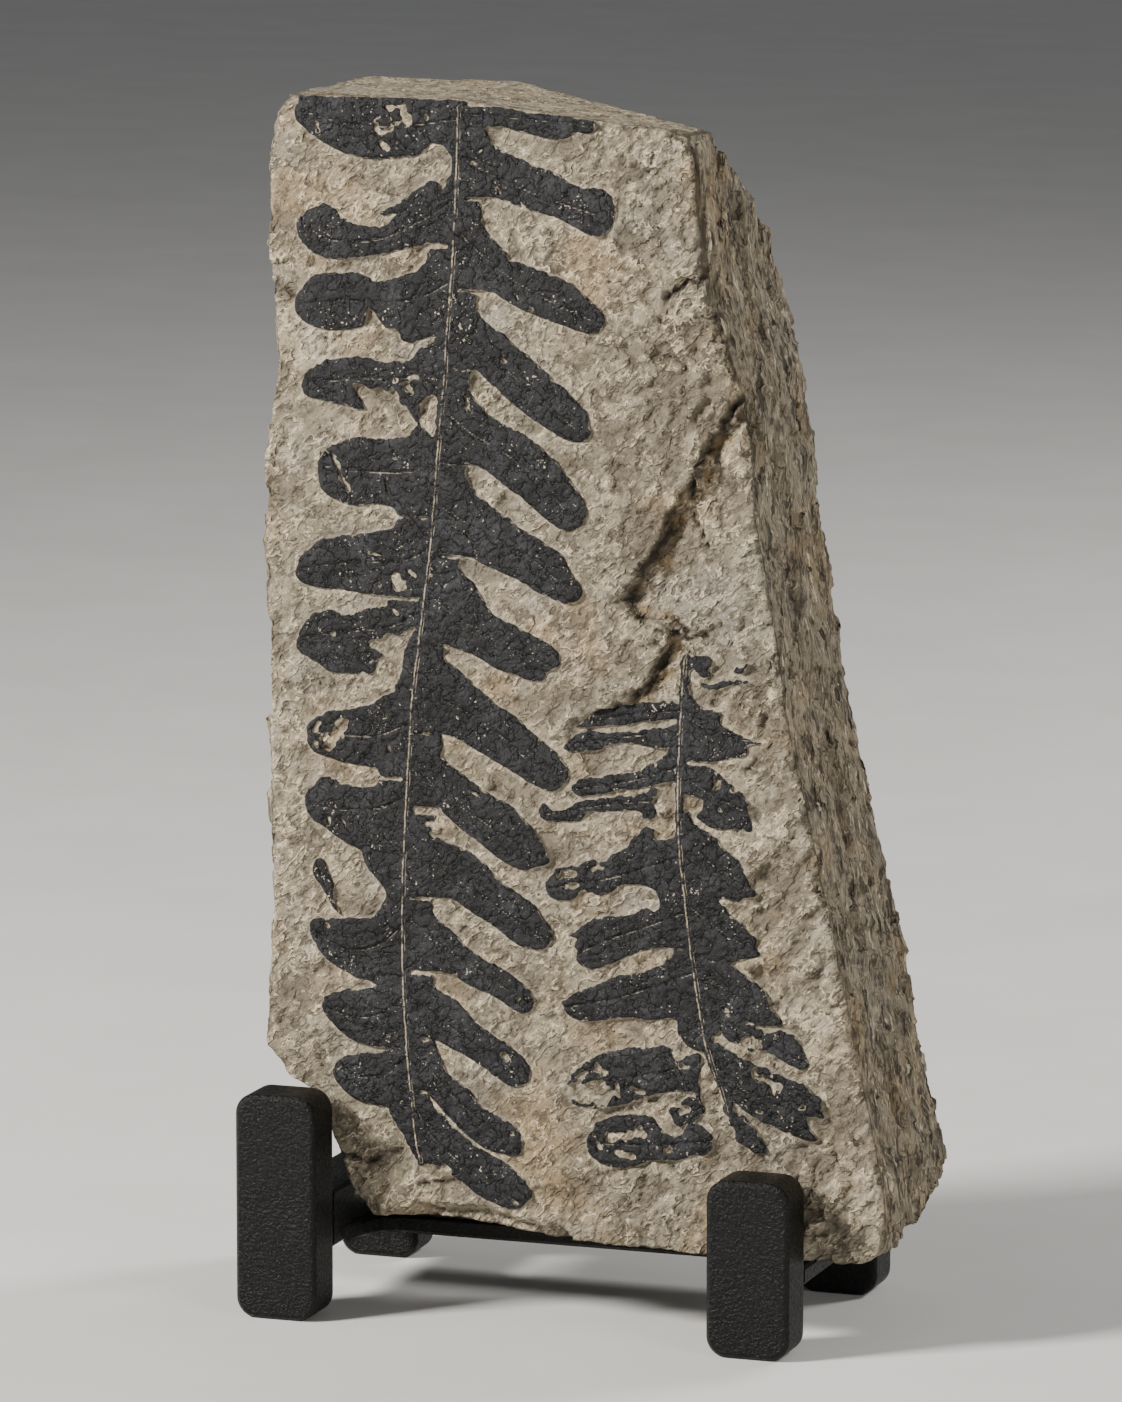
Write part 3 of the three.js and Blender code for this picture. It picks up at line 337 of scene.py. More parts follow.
# Places where the film has flaked off, as (points, radius)
LARGE_BARE = [
    ([(27.3, 264.4), (27.7, 262.4), (28.8, 260.4)], 0.9), ([(24.6, 261), (26.6, 260.4)], 0.6),
    ([(22.4, 258), (25, 258.8)], 0.6), ([(22.4, 255.6), (23.6, 254.4)], 0.6),
    ([(23.4, 264.4), (24.6, 264)], 0.6), ([(6.2, 259.5), (6.5, 258)], 0.6),
    ([(20.8, 259.6), (21.6, 258.4)], 0.5), ([(33.4, 262), (33.6, 261.4)], 0.35),
    ([(3.2, 237), (3.8, 236.4)], 0.4), ([(5.4, 236.8), (5.6, 236)], 0.35),
    ([(13.5, 223), (14, 222.6)], 0.3), ([(21.6, 197), (24, 195.4), (27, 195.8)], 1.2),
    ([(29.4, 199.6), (31.4, 197.8)], 0.6), ([(30.8, 201.6), (32.4, 202)], 0.6),
    ([(26.6, 201.6), (27.2, 200.6)], 0.4), ([(24, 200.6), (24.4, 200.2)], 0.4),
    ([(11.6, 182.6), (12.8, 180.6), (13.9, 177.8), (15.8, 174.6)], 0.42),
    ([(10.2, 183.6), (10.6, 181.6)], 0.25), ([(25.2, 177.8), (25.6, 174.6)], 0.28),
    ([(22, 181.6), (22.4, 180.6)], 0.25), ([(27, 182.4), (28, 181.8)], 0.3),
    ([(28, 154.6), (28.6, 152.2), (30, 152.4)], 1.1), ([(31.4, 155.8), (33, 154.9)], 0.7),
    ([(24.4, 152.6)], 0.5), ([(27.2, 147), (28.6, 146)], 0.5), ([(21.6, 159.8), (24.6, 159.2)], 0.25),
    ([(12.4, 140.6), (13, 140.2)], 0.5), ([(12, 114.4), (14, 117), (15.6, 119.2)], 1.5),
    ([(8.4, 117.4), (9.8, 119)], 0.4), ([(9, 114.6), (9.6, 113.6)], 0.4),
    ([(27.1, 115), (27.2, 113.4)], 0.35), ([(26.5, 121.6), (26.7, 121)], 0.4),
    ([(16.4, 96.4), (17, 95.6)], 0.3), ([(12.6, 97), (13.2, 96)], 0.5),
    ([(37.4, 97.2), (38.6, 96.4), (39, 94.8)], 0.9), ([(40.3, 100.4)], 0.8),
    ([(48.6, 105), (49.8, 104.4)], 0.4), ([(50.4, 247.6), (51.8, 245)], 0.4),
    ([(45, 252), (46, 251.4)], 0.35), ([(57, 242.6), (58, 241.8)], 0.4),
    ([(45.4, 165.6), (45.8, 165)], 0.3), ([(43.5, 60.8), (45, 61.4)], 0.5),
    ([(60.8, 57.8), (60.6, 56.6)], 0.4), ([(63.4, 57), (63.6, 56.2)], 0.3),
    ([(57.4, 43.8), (58.4, 43)], 0.5), ([(59.8, 25.4), (60.4, 24.4)], 0.4),
    ([(43.4, 16.6), (44.6, 15.4)], 0.5), ([(61, 9.6), (62, 8.8)], 0.3),
    ([(12.8, 71.6), (13.4, 71.2)], 0.25), ([(32.2, 30.4)], 0.3), ([(56.4, 221.6), (57, 220.4)], 0.3),
    ([(59.6, 219), (60.2, 218.2)], 0.3), ([(52.8, 207), (54, 206)], 0.4),
    ([(44.4, 197.4), (45.6, 194)], 0.3),
]
SMALL_BARE = [
    ([(71, 86.8), (74, 87.6)], 0.6), ([(77.4, 88.4), (81, 89.4)], 0.35),
    ([(72.4, 84.4), (74.8, 84.8)], 0.5), ([(116.8, 51.6), (119.6, 50.8)], 1.3),
    ([(119.4, 43.8), (122.2, 42.6), (125.4, 41.2)], 0.9), ([(115.8, 42.2), (117, 40.4)], 0.6),
    ([(111.4, 58.6), (112.2, 58)], 0.6), ([(110.6, 52.4), (111, 50.8)], 0.6),
    ([(75.4, 36.6), (79, 37.4), (83.4, 36.6)], 2.0), ([(77, 34.6), (83, 34.8)], 1.1),
    ([(80.4, 42.4), (82.8, 41.4)], 0.7), ([(85.4, 38.6), (86, 36)], 0.7), ([(89.6, 38), (92, 37.4)], 0.6),
    ([(76.4, 40), (78.4, 41)], 0.4), ([(107.8, 111.6), (108.4, 110.2)], 0.9),
    ([(112.2, 109.6), (112.6, 109.2)], 0.4), ([(109.4, 104.6), (110, 104)], 0.3),
    ([(125.4, 35), (126, 34)], 0.4), ([(120.6, 35.2), (121.2, 34.8)], 0.3), ([(105, 88.4)], 0.3),
    ([(108.4, 89.2)], 0.3), ([(131.4, 36.6)], 0.35), ([(123.8, 40.2), (124.2, 39)], 0.4),
    ([(101.4, 44.2), (103, 44)], 0.4),
]
LOOSE_BARE = [
    ([(84.8, 26.2), (88, 26.8), (90.6, 27.6)], 1.1), ([(86.4, 22.6), (90, 22.2)], 0.8),
    ([(91.8, 28.6), (92.8, 27.2)], 0.6), ([(81.6, 24.6), (82.2, 23.4)], 0.5),
    ([(98.4, 24), (99.4, 24.6)], 0.5), ([(96, 24.6)], 0.4), ([(80.6, 26.4)], 0.4),
]
LOW_BARE = [([(101.8, 33.6), (103.4, 34.4)], 0.8)]

# How the leaf film is drawn
FILM_STEP = 0.42
FILM_EDGE, FILM_PILLOW, FILM_EMBED = 0.3, 0.6, 0.8
LEAST_ISLAND = 8

# Stand
LEFT_POST_X = -3.6
POST_FRONT = -13.0
POSTS = ("front_post_left", "front_post_right", "rear_post_left", "rear_post_right")
PLAIN_BARS = ("side_arm_left", "side_arm_right", "cross_bar_front", "cross_bar_rear")
POST_CORNER, POST_BEVEL, POST_CELL = 5.0, 0.9, 0.8

# Colours of the stone
STONE_DARK, STONE_MID, STONE_LIGHT = (0.20, 0.168, 0.118), (0.315, 0.272, 0.198), (0.44, 0.388, 0.29)
OCHRE_BLOOM, GREY_BLOOM = (0.36, 0.265, 0.145), (0.31, 0.295, 0.265)
RUST, PALE_STONE = (0.33, 0.235, 0.125), (0.60, 0.535, 0.42)
# PIT_SHADE is painted shade that darkens the low places of the front
STEP_SHADOW, PIT_SHADE, CRACK_SHADE = (0.10, 0.082, 0.06), (0.13, 0.105, 0.075), (0.035, 0.028, 0.02)
# LIP_CREAM_AND_HIGHLIGHT is the cream colour of the step lips together with a painted highlight on the raised
# ones
LIP_CREAM_AND_HIGHLIGHT, CRUMB, FILM_BED = (0.85, 0.71, 0.49), (0.25, 0.165, 0.075), (0.42, 0.372, 0.285)
# SIDE_SHADE_TONE is painted shade that darkens the sides, and less so the top, back and breaks
# SIDE_SLOT_SHADE is painted shade in the grooves between the side layers
SIDE_SHADE_TONE, SIDE_SLOT_SHADE, SIDE_STREAK = (0.66, 0.64, 0.61), (0.05, 0.042, 0.032), (0.80, 0.68, 0.50)

# Colours of the leaf film, the stand and the floor
LEAF_DARK, LEAF_MID, LEAF_LIGHT = (0.003, 0.003, 0.0035), (0.008, 0.008, 0.009), (0.036, 0.036, 0.040)
# LEAF_CREASE_SHADE is painted shade in the folds of the film
LEAF_CREASE_SHADE, LEAF_SPECK, LEAF_RIM = (0.002, 0.002, 0.002), (0.50, 0.45, 0.36), (0.44, 0.38, 0.29)
VEIN_LINE, RIB_LINE = (0.40, 0.345, 0.265), (0.44, 0.36, 0.26)
COAT_DARK, COAT_LIGHT = (0.002, 0.002, 0.002), (0.007, 0.007, 0.0072)
FLOOR_DARK, FLOOR_LIGHT = (0.62, 0.615, 0.60), (0.66, 0.655, 0.64)

# Studio, in metres, and the camera's place in mm from the stand
FLOOR_HALF = 14.0
SKY_COLOUR, SKY_STRENGTH = (0.92, 0.94, 0.97, 1), 0.17
LIGHT_TARGET = (0, 0, 0.15)
LIGHTS = (
    ("key", (-0.96, -0.86, 0.9), 0.3, 50, (1.0, 0.965, 0.91)),
    ("fill", (1.35, -0.75, 0.55), 0.6, 7, (1.0, 0.98, 0.95)),
    ("rim", (0.95, 1.15, 0.95), 0.35, 22, (1.0, 0.98, 0.94)),
)
CAMERA_AZIMUTH, CAMERA_ELEVATION = math.radians(19.4), math.radians(9.4)
CAMERA_PLACE = (679.12, -1720.93, 451.49)
CAMERA_LENS, CAMERA_SENSOR = 205.4, 36.0

post_low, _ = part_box("front_post_left")
SHIFT_X = post_low.x / MM - LEFT_POST_X
SHIFT_Y = post_low.y / MM - POST_FRONT


def slab_to_world(u, d, v):
    """Points in slab millimetres as rows of metres in the frame."""
    x = u + SHIFT_X
    y = d * math.cos(LEAN) + v * math.sin(LEAN) + SHIFT_Y
    z = SEAT_HEIGHT + v * math.cos(LEAN) - d * math.sin(LEAN)
    return np.stack([x, y, z], axis=-1) * MM


# Seeded noise

random_numbers = np.random.default_rng(41)
ORDER = np.tile(random_numbers.permutation(256), 3)
SLOPES = random_numbers.normal(size=(256, 3))
SLOPES /= np.linalg.norm(SLOPES, axis=1, keepdims=True)
SPREAD = random_numbers.random((256, 3))
LEVEL = random_numbers.random(256)


def lattice_number(cell):
    """A repeatable number from 0 to 255 for each whole-number cell."""
    first = ORDER[cell[:, 0] & 255]
    second = ORDER[(first + cell[:, 1]) & 255]
    return ORDER[(second + cell[:, 2]) & 255]


def noise(points, size, seed=0):
    """Smooth noise from about -1 to 1, with lumps of the given size."""
    p = points / size + 19.7 * (seed + 1)
    cell = np.floor(p).astype(int)
    f = p - cell
    fade = f * f * f * (f * (f * 6 - 15) + 10)
    total = np.zeros(len(p))
    for corner in np.ndindex(2, 2, 2):
        corner = np.array(corner)
        slope = SLOPES[lattice_number(cell + corner)]
        share = np.prod(np.where(corner, fade, 1 - fade), axis=1)
        total += share * np.sum(slope * (f - corner), axis=1)
    return 1.7 * total


def rough(points, size, octaves=3, seed=0):
    """Noise of several sizes, each half as large as the last."""
    return sum(noise(points, size / 2**k, seed + k) / 2**k for k in range(octaves))


def flakes(points, size, seed=0, tilt=0.9):
    """Heights of small tilted facets, as a broken stone face shows."""
    p = points / size + 7.3 * (seed + 1)
    cell = np.floor(p).astype(int)
    nearest = np.full(len(p), 9.0)
    height = np.zeros(len(p))
    for step in np.ndindex(3, 3, 3):
        neighbour = cell + np.array(step) - 1
        number = lattice_number(neighbour)
        away = p - neighbour - SPREAD[number]
        distance = np.sum(away * away, axis=1)
        closer = distance < nearest
        value = LEVEL[number] - 0.5 + tilt * np.sum(away * SLOPES[number], axis=1)
        height = np.where(closer, value, height)
        nearest = np.where(closer, distance, nearest)
    return height


def smoothstep(low, high, x):
    t = np.clip((x - low) / (high - low), 0, 1)
    return t * t * (3 - 2 * t)


def flat_points(u, v):
    return np.stack([u, v, np.zeros_like(u)], axis=-1)


def terraces(values, count, slope=0.3):
    """Smooth values turned into flat steps with short slopes between them."""
    scaled = values * count
    step = np.floor(scaled)
    return (step + smoothstep(1 - slope, 1, scaled - step)) / count


# Distances on the front plane

def distance_to_path(u, v, path):
    """Distance from each (u, v) to a path, and how far along the path its nearest point is, in mm."""
    path = np.asarray(path, float)[:, :2]
    nearest = np.full(u.shape, 1e9)
    along = np.zeros(u.shape)
    start = 0.0
    for a, b in zip(path[:-1], path[1:]):
        run = b - a
        t = np.clip(((u - a[0]) * run[0] + (v - a[1]) * run[1]) / max(run @ run, 1e-9), 0, 1)
        distance = np.hypot(u - a[0] - t * run[0], v - a[1] - t * run[1])
        length = math.hypot(*run)
        along = np.where(distance < nearest, start + t * length, along)
        nearest = np.minimum(nearest, distance)
        start += length
    return nearest, along


def inside_polygon(u, v, polygon):
    polygon = np.asarray(polygon, float)[:, :2]
    inside = np.zeros(u.shape, bool)
    for i in range(len(polygon)):
        (u0, v0), (u1, v1) = polygon[i - 1], polygon[i]
        crosses = (v0 > v) != (v1 > v)
        at = u0 + (v - v0) / (v1 - v0 if v1 != v0 else 1e-9) * (u1 - u0)
        inside ^= crosses & (u < at)
    return inside


def depth_inside(u, v, polygon):
    """Distance to a closed outline, positive inside it."""
    distance, _ = distance_to_path(u, v, list(polygon) + [polygon[0]])
    return np.where(inside_polygon(u, v, polygon), distance, -distance)


def bent_path(points, steps=8, closed=False):
    """A smooth path through a few points."""
    points = np.asarray(points, float)
    if closed:
        ends = np.vstack([points[-1], points, points[:2]])
    else:
        ends = np.vstack([2 * points[0] - points[1], points, 2 * points[-1] - points[-2]])
    path = []
    for a, b, c, d in zip(ends[:-3], ends[1:-2], ends[2:-1], ends[3:]):
        for t in np.arange(steps) / steps:
            path.append(0.5 * (2 * b + (c - a) * t + (2 * a - 5 * b + 4 * c - d) * t**2
                               + (3 * b - a - 3 * c + d) * t**3))
    if not closed:
        path.append(points[-1])
    return np.array(path)


# Leaf films: distance fields on one shared grid

FILM_U = np.arange(-2, 140, FILM_STEP)
FILM_V = np.arange(4, 268, FILM_STEP)
GRID_U, GRID_V = np.meshgrid(FILM_U, FILM_V)
GRID_POINTS = flat_points(GRID_U.ravel(), GRID_V.ravel())
RAGGED_COARSE = noise(GRID_POINTS, 2.9, 5).reshape(GRID_U.shape)
RAGGED_FINE = noise(GRID_POINTS, 1.2, 9).reshape(GRID_U.shape)
FAR = 30.0
SMOOTH_EDGE = 0.35


class Film:
    """Leaf film grown pinnule by pinnule: distance outside its edge, and the lines that run in it."""

    def __init__(self):
        self.outside, self.vein, self.rib = (np.full(GRID_U.shape, FAR) for _ in range(3))
        self.along = np.zeros(GRID_U.shape)
        self.ragged = np.ones(GRID_U.shape)

    def window(self, path, margin):
        low = np.min(path, axis=0) - margin
        high = np.max(path, axis=0) + margin
        rows = slice(*np.searchsorted(FILM_V, [low[1], high[1]]))
        columns = slice(*np.searchsorted(FILM_U, [low[0], high[0]]))
        return rows, columns

    def join(self, window, distance, blend=0.7):
        old = self.outside[window]
        share = np.clip(0.5 + 0.5 * (old - distance) / blend, 0, 1)
        self.outside[window] = old * (1 - share) + distance * share - blend * share * (1 - share)

    def add_stem(self, stem, half):
        path = bent_path(stem)
        window = self.window(path, 8)
        u, v = GRID_U[window], GRID_V[window]
        distance, _ = distance_to_path(u, v, path)
        self.join(window, distance - half * (0.6 + 0.4 * smoothstep(path[-1][1], path[-1][1] + 20, v)))
        side = np.sign(u - np.interp(-v, -path[:, 1], path[:, 0]))
        self.rib[window] = side * distance

    def add_pinnule(self, edge, midrib, stem=None):
        if stem:
            stem_u, stem_v = np.array(stem).T
            base = [(np.interp(-v, -stem_v, stem_u), v) for v in (edge[-1][1], edge[0][1])]
            outline = np.vstack([bent_path(edge, 3), base])
        else:
            outline = bent_path(edge, 3, closed=True)
        window = self.window(outline, 4)
        u, v = GRID_U[window], GRID_V[window]
        distance = -depth_inside(u, v, outline)
        mine = distance < self.outside[window]
        if midrib:
            path = bent_path(midrib)
            vein, along = distance_to_path(u, v, path)
            rise = np.interp(u, *path[np.argsort(path[:, 0])].T)
            self.ragged[window] = np.where(mine, np.where(v > rise, 1, SMOOTH_EDGE), self.ragged[window])
            self.along[window] = np.where(mine, along, self.along[window])
            self.vein[window] = np.where(mine, vein, self.vein[window])
        self.join(window, distance)

    def cut(self, points, radius):
        path = np.asarray(list(points) * (3 - min(2, len(points))), float)
        window = self.window(path, radius + 3)
        distance, _ = distance_to_path(GRID_U[window], GRID_V[window], path)
        wobble = (0.6 * RAGGED_COARSE[window] + 0.6 * RAGGED_FINE[window]) * min(1, radius)
        self.outside[window] = np.maximum(self.outside[window], radius - distance + wobble)

    def finish(self, raggedness, flecks):
        self.outside += raggedness * self.ragged * (0.32 * RAGGED_COARSE + 0.3 * RAGGED_FINE)
        top = np.interp(GRID_U, *np.array(TOP_LINE).T) - 0.35
        self.outside = np.maximum(self.outside, GRID_V - top)
        spot = noise(GRID_POINTS, 1.3, 31).reshape(GRID_U.shape)
        dense = noise(GRID_POINTS, 13, 33).reshape(GRID_U.shape)
        self.outside = np.maximum(self.outside, (spot - 0.98 + flecks + 0.2 * dense) * 1.2)
        return self


def make_film(pinnules, bare=(), stem=None, half=0.0, patches=(), raggedness=1.0, flecks=0.0):
    film = Film()
    if stem:
        film.add_stem(stem, half)
    for edge, midrib in pinnules:
        film.add_pinnule(edge, midrib, stem)
    for edge, midrib in patches:
        film.add_pinnule(edge, midrib)
    for points, radius in bare:
        film.cut(points, radius)
    return film.finish(raggedness, flecks)


large_film = make_film(LARGE_RIGHT + LARGE_LEFT, LARGE_BARE, LARGE_STEM, LARGE_STEM_HALF, flecks=0.06)
small_film = make_film(
    SMALL_RIGHT + SMALL_LEFT, SMALL_BARE, SMALL_STEM, SMALL_STEM_HALF, SMALL_PATCHES,
    raggedness=1.25, flecks=0.1,
)
loose_film = make_film([], LOOSE_BARE, patches=LOOSE_PINNULE, flecks=0.1)
low_scrap_film = make_film([], LOW_BARE, patches=LOW_SCRAP, raggedness=0.7)
left_scrap_film = make_film([], patches=LEFT_SCRAP, raggedness=0.5, flecks=-1)
FILMS = (
    ("large_frond_film", large_film, "large_frond"),
    ("small_frond_film", small_film, "small_frond"),
    ("loose_pinnule_film", loose_film, "loose_pinnule"),
    ("scrap_film_low", low_scrap_film, "leaf_scrap_low"),
    ("scrap_film_left", left_scrap_film, "leaf_scrap_left"),
)
ALL_FILM = np.minimum.reduce([film.outside for _, film, _ in FILMS])


def from_grid(field, u, v):
    """Values of a grid field at any (u, v), by straight-line blending."""
    x = np.clip((u - FILM_U[0]) / FILM_STEP, 0, len(FILM_U) - 1.001)
    y = np.clip((v - FILM_V[0]) / FILM_STEP, 0, len(FILM_V) - 1.001)
    i, j = x.astype(int), y.astype(int)
    fx, fy = x - i, y - j
    low = field[j, i] * (1 - fx) + field[j, i + 1] * fx
    high = field[j + 1, i] * (1 - fx) + field[j + 1, i + 1] * fx
    return low * (1 - fy) + high * fy


# Relief of the slab's front, as depth into the stone

def inside_hollow(u, v):
    """How far inside the ragged edge of the ledge each point lies, negative on the high side."""
    points = flat_points(u, v)
    from_ledge, _ = distance_to_path(u, v, LEDGE)
    inside = np.where(inside_polygon(u, v, LEDGE + HOLLOW_RIM), 1, -1) * from_ledge
    return inside + 1.9 * noise(points, 8, 61) + 0.9 * noise(points, 2.8, 62)


def hollow_depth(u, v):
    """Depth of the hollow under the ledge, with its wall broken into thin ragged layers."""
    rim = np.array(LEDGE + HOLLOW_RIM, float)
    closed = np.vstack([rim, rim[:1]])
    runs = zip(closed[:-1], closed[1:])
    samples = np.vstack([a + (b - a) * t for a, b in runs for t in (0, 0.25, 0.5, 0.75)])
    total = np.zeros(u.shape)
    weights = np.zeros(u.shape)
    for su, sv, depth in samples:
        weight = 1 / ((u - su)**2 + (v - sv)**2 + 4)**1.5
        total += weight * depth
        weights += weight
    points = flat_points(u, v)
    inside = inside_hollow(u, v)
    spread = 0.35 + 0.9 * smoothstep(168, 176, v) * smoothstep(192, 184, v)
    depth = np.zeros(u.shape)
    for share, k in ((0.4, 0), (0.15, 1), (0.3, 2), (0.15, 3)):
        wobble = 1.1 * noise(points + (0, 0, 9 * k), 5, 70 + k) + 0.4 * noise(points, 1.7, 80 + k)
        depth += share * smoothstep(0, 0.6, inside - spread * (k + 0.9 * wobble))
    return HOLLOW_SHARE * total / weights * depth


def lip_depth(u, v):
    """Depth of the layer missing along the foot."""
    points = flat_points(u, v)
    ragged = depth_inside(u, v, LIP) + 0.5 * noise(points, 3, 91)
    ragged = np.where(v < 2, 3, ragged)
    within = inside_polygon(u, v, [(u0, -30 if v0 < 0 else v0 + 1.5) for u0, v0 in LIP])
    return LIP_DEPTH * within * (0.5 * smoothstep(0, 0.7, ragged) + 0.5 * smoothstep(0.8, 1.6, ragged))


def crack_depth(u, v):
    points = flat_points(u, v)
    wander_u = u + 0.9 * noise(points, 4, 101)
    wander_v = v + 0.9 * noise(points, 4, 102)
    depth = np.zeros(u.shape)
    for path, half, deep in CRACKS:
        distance, _ = distance_to_path(wander_u, wander_v, path)
        depth = np.maximum(depth, deep * smoothstep(half * 2.4, 0, distance))
    return depth - CHIP_HEIGHT * smoothstep(0, 0.6, depth_inside(wander_u, wander_v, CHIP))


def top_rounding(u, v):
    """How far the worn top edge has gone back."""
    near = np.clip(np.interp(u, *np.array(TOP_LINE).T) - v, 0, TOP_WEAR)
    return TOP_WEAR - np.sqrt(TOP_WEAR**2 - (TOP_WEAR - near)**2)


def broad_relief(u, v):
    """The forms of the front wider than a pinnule; the films follow these."""
    points = flat_points(u, v)
    swell = 0.6 + 0.6 * rough(points, 30, 3, 110)
    return np.clip(swell, 0, 2.2) + hollow_depth(u, v) + lip_depth(u, v)


def turned(points, angle, stretch):
    """Points turned in the front plane, so that noise on them is drawn out along the angle."""
    c, s = math.cos(angle), math.sin(angle)
    along = points[:, 0] * c + points[:, 1] * s
    across = points[:, 1] * c - points[:, 0] * s
    return np.stack([along / stretch, across, points[:, 2]], axis=1)


def fine_relief(u, v):
    """Flakes, thin steps and grain of the bare front."""
    points = flat_points(u, v)
    warped = points + 1.6 * np.stack([noise(points, 5, 120), noise(points, 5, 121), 0 * u], axis=-1)
    patch = 0.85 + 0.4 * noise(points, 26, 124)
    level = turned(warped, 0.25, 1.5)
    slanting = turned(warped, 0.85, 1.8)
    right = smoothstep(60, 95, u + 6 * noise(points, 20, 125))
    facets = flakes(level, 5.0, 1, 1.1) * (1 - right) + flakes(slanting, 6.0, 2, 1.3) * right
    steps = terraces(rough(level, 9, 3, 126), 3) * (1 - right)
    steps += terraces(rough(slanting, 9, 3, 127), 3) * right
    small = flakes(level, 2.4, 3, 1.2) * (1 - right) + flakes(slanting, 2.4, 4, 1.2) * right
    layers = (0.55 + 0.25 * right) * facets + 0.7 * steps + (0.5 + 0.25 * right) * small
    return patch * layers + 0.1 * rough(points, 2, 2, 130)


def zone_share(u, v, zones):
    """How strongly each point lies in any of the soft round zones."""
    points = flat_points(u, v)
    shake_u, shake_v = u + 6 * noise(points, 11, 180), v + 6 * noise(points, 11, 181)
    share = np.zeros(u.shape)
    for zone_u, zone_v, reach in zones:
        away = np.hypot(shake_u - zone_u, shake_v - zone_v)
        share = np.maximum(share, smoothstep(1.3 * reach, 0.4 * reach, away))
    return share


# The slab

def slab_outline(s, t):
    """Where the grid share (s, t) lies on the front: a blend of the four measured sides."""
    left_v = FOOT_LEFT[1] + (TOP_LEFT[1] - FOOT_LEFT[1]) * t
    right_v = FOOT_RIGHT[1] + (TOP_RIGHT[1] - FOOT_RIGHT[1]) * t
    foot_u = FOOT_LEFT[0] + (FOOT_RIGHT[0] - FOOT_LEFT[0]) * s
    top_u = TOP_LEFT[0] + (TOP_RIGHT[0] - TOP_LEFT[0]) * s
    left = (np.interp(left_v, *np.array(LEFT_SIDE).T), left_v)
    right = (np.interp(right_v, *np.array(RIGHT_SIDE).T), right_v)
    foot = (foot_u, np.interp(foot_u, *np.array(FOOT_LINE).T))
    top = (top_u, np.interp(top_u, *np.array(TOP_LINE).T))
    result = []
    for axis in (0, 1):
        sides = left[axis] * (1 - s) + right[axis] * s + foot[axis] * (1 - t) + top[axis] * t
        low = FOOT_LEFT[axis] * (1 - s) + FOOT_RIGHT[axis] * s
        high = TOP_LEFT[axis] * (1 - s) + TOP_RIGHT[axis] * s
        result.append(sides - low * (1 - t) - high * t)
    return result


def layer_offset(layers, w, v):
    """How far the layers stand proud on one side, with soft steps between them."""
    value = np.full(w.shape, layers[0])
    for k, end in enumerate(LAYER_ENDS):
        ragged = end + 0.03 * np.sin(v / 19 + 2 * k)
        value += (layers[k + 1] - layers[k]) * smoothstep(ragged - 0.012, ragged + 0.012, w)
    return value


def box_skin(sizes, steps):
    """The corners and faces of a box skin of whole-number cells, coarser where a face's step is larger."""
    numbers = {}
    faces = []
    for axis in range(3):
        a, b = (axis + 1) % 3, (axis + 2) % 3
        for end in (0, 1):
            step = steps[2 * axis + end]
            for i in range(0, sizes[a], step):
                for j in range(0, sizes[b], step):
                    face = []
                    for p, q in cell_ring(i, j, step, sizes[a], sizes[b]):
                        cell = [end * sizes[axis]] * 3
                        cell[a], cell[b] = p, q
                        face.append(numbers.setdefault(tuple(cell), len(numbers)))
                    faces.append(face[::-1] if end == 0 else face)
    return np.array(list(numbers)), faces


def cell_ring(i, j, step, size_a, size_b):
    """The corners round one cell, with every fine corner where the cell meets the face's border."""
    ring = [(p, j) for p in range(i, i + step, 1 if j == 0 else step)]
    ring += [(i + step, q) for q in range(j, j + step, 1 if i + step == size_a else step)]
    ring += [(p, j + step) for p in range(i + step, i, -1 if j + step == size_b else -step)]
    ring += [(i, q) for q in range(j + step, j, -1 if i == 0 else -step)]
    return ring


def push_to_break(points, corners):
    """Moves the points beyond a broken corner onto the break, and says which they are."""
    a, b, c = (np.array(p, float) for p in corners)
    normal = np.cross(b - a, c - a)
    normal /= np.linalg.norm(normal)
    beyond = (points - a) @ normal
    points -= np.outer(np.maximum(beyond, 0), normal)
    return beyond > 0


def rounded(points, shares, lengths, radius):
    """Rounds the edges of the block, by pulling points near two or three faces in to a radius."""
    near = np.minimum(shares, 1 - shares) * lengths
    pull = np.maximum(np.reshape(radius, (-1, 1)) - near, 0)
    size = np.linalg.norm(pull, axis=1)
    scale = np.where(size > radius, radius / np.maximum(size, 1e-9), 1)
    inward = np.where(shares < 0.5, 1, -1)
    return points + inward * pull * (1 - scale)[:, None]


def grid_normals(points, faces):
    """Average outward direction at each corner."""
    normals = np.zeros_like(points)
    by_size = {}
    for face in faces:
        by_size.setdefault(len(face), []).append(face)
    for group in by_size.values():
        group = np.array(group)
        a, b, c = (points[group[:, k * group.shape[1] // 3]] for k in range(3))
        normal = np.cross(b - a, c - a)
        for k in range(group.shape[1]):
            np.add.at(normals, group[:, k], normal)
    return normals / np.maximum(np.linalg.norm(normals, axis=1, keepdims=True), 1e-12)


def side_relief(points):
    """Thin upright layers that show on the left and right sides."""
    bent = points + 0.6 * np.stack([noise(points, 9, k) for k in (150, 151, 152)], axis=1)
    thin = flakes(bent * (1, 1, 0.25), 2.8, 4, 1.2)
    wide = flakes(bent * (1, 1, 0.4), 6.5, 5, 1.2)
    return 0.9 * thin + 1.1 * wide + 0.35 * flakes(points, 2.6, 6, 1.0) + 0.5 * rough(points, 24, 2, 160)


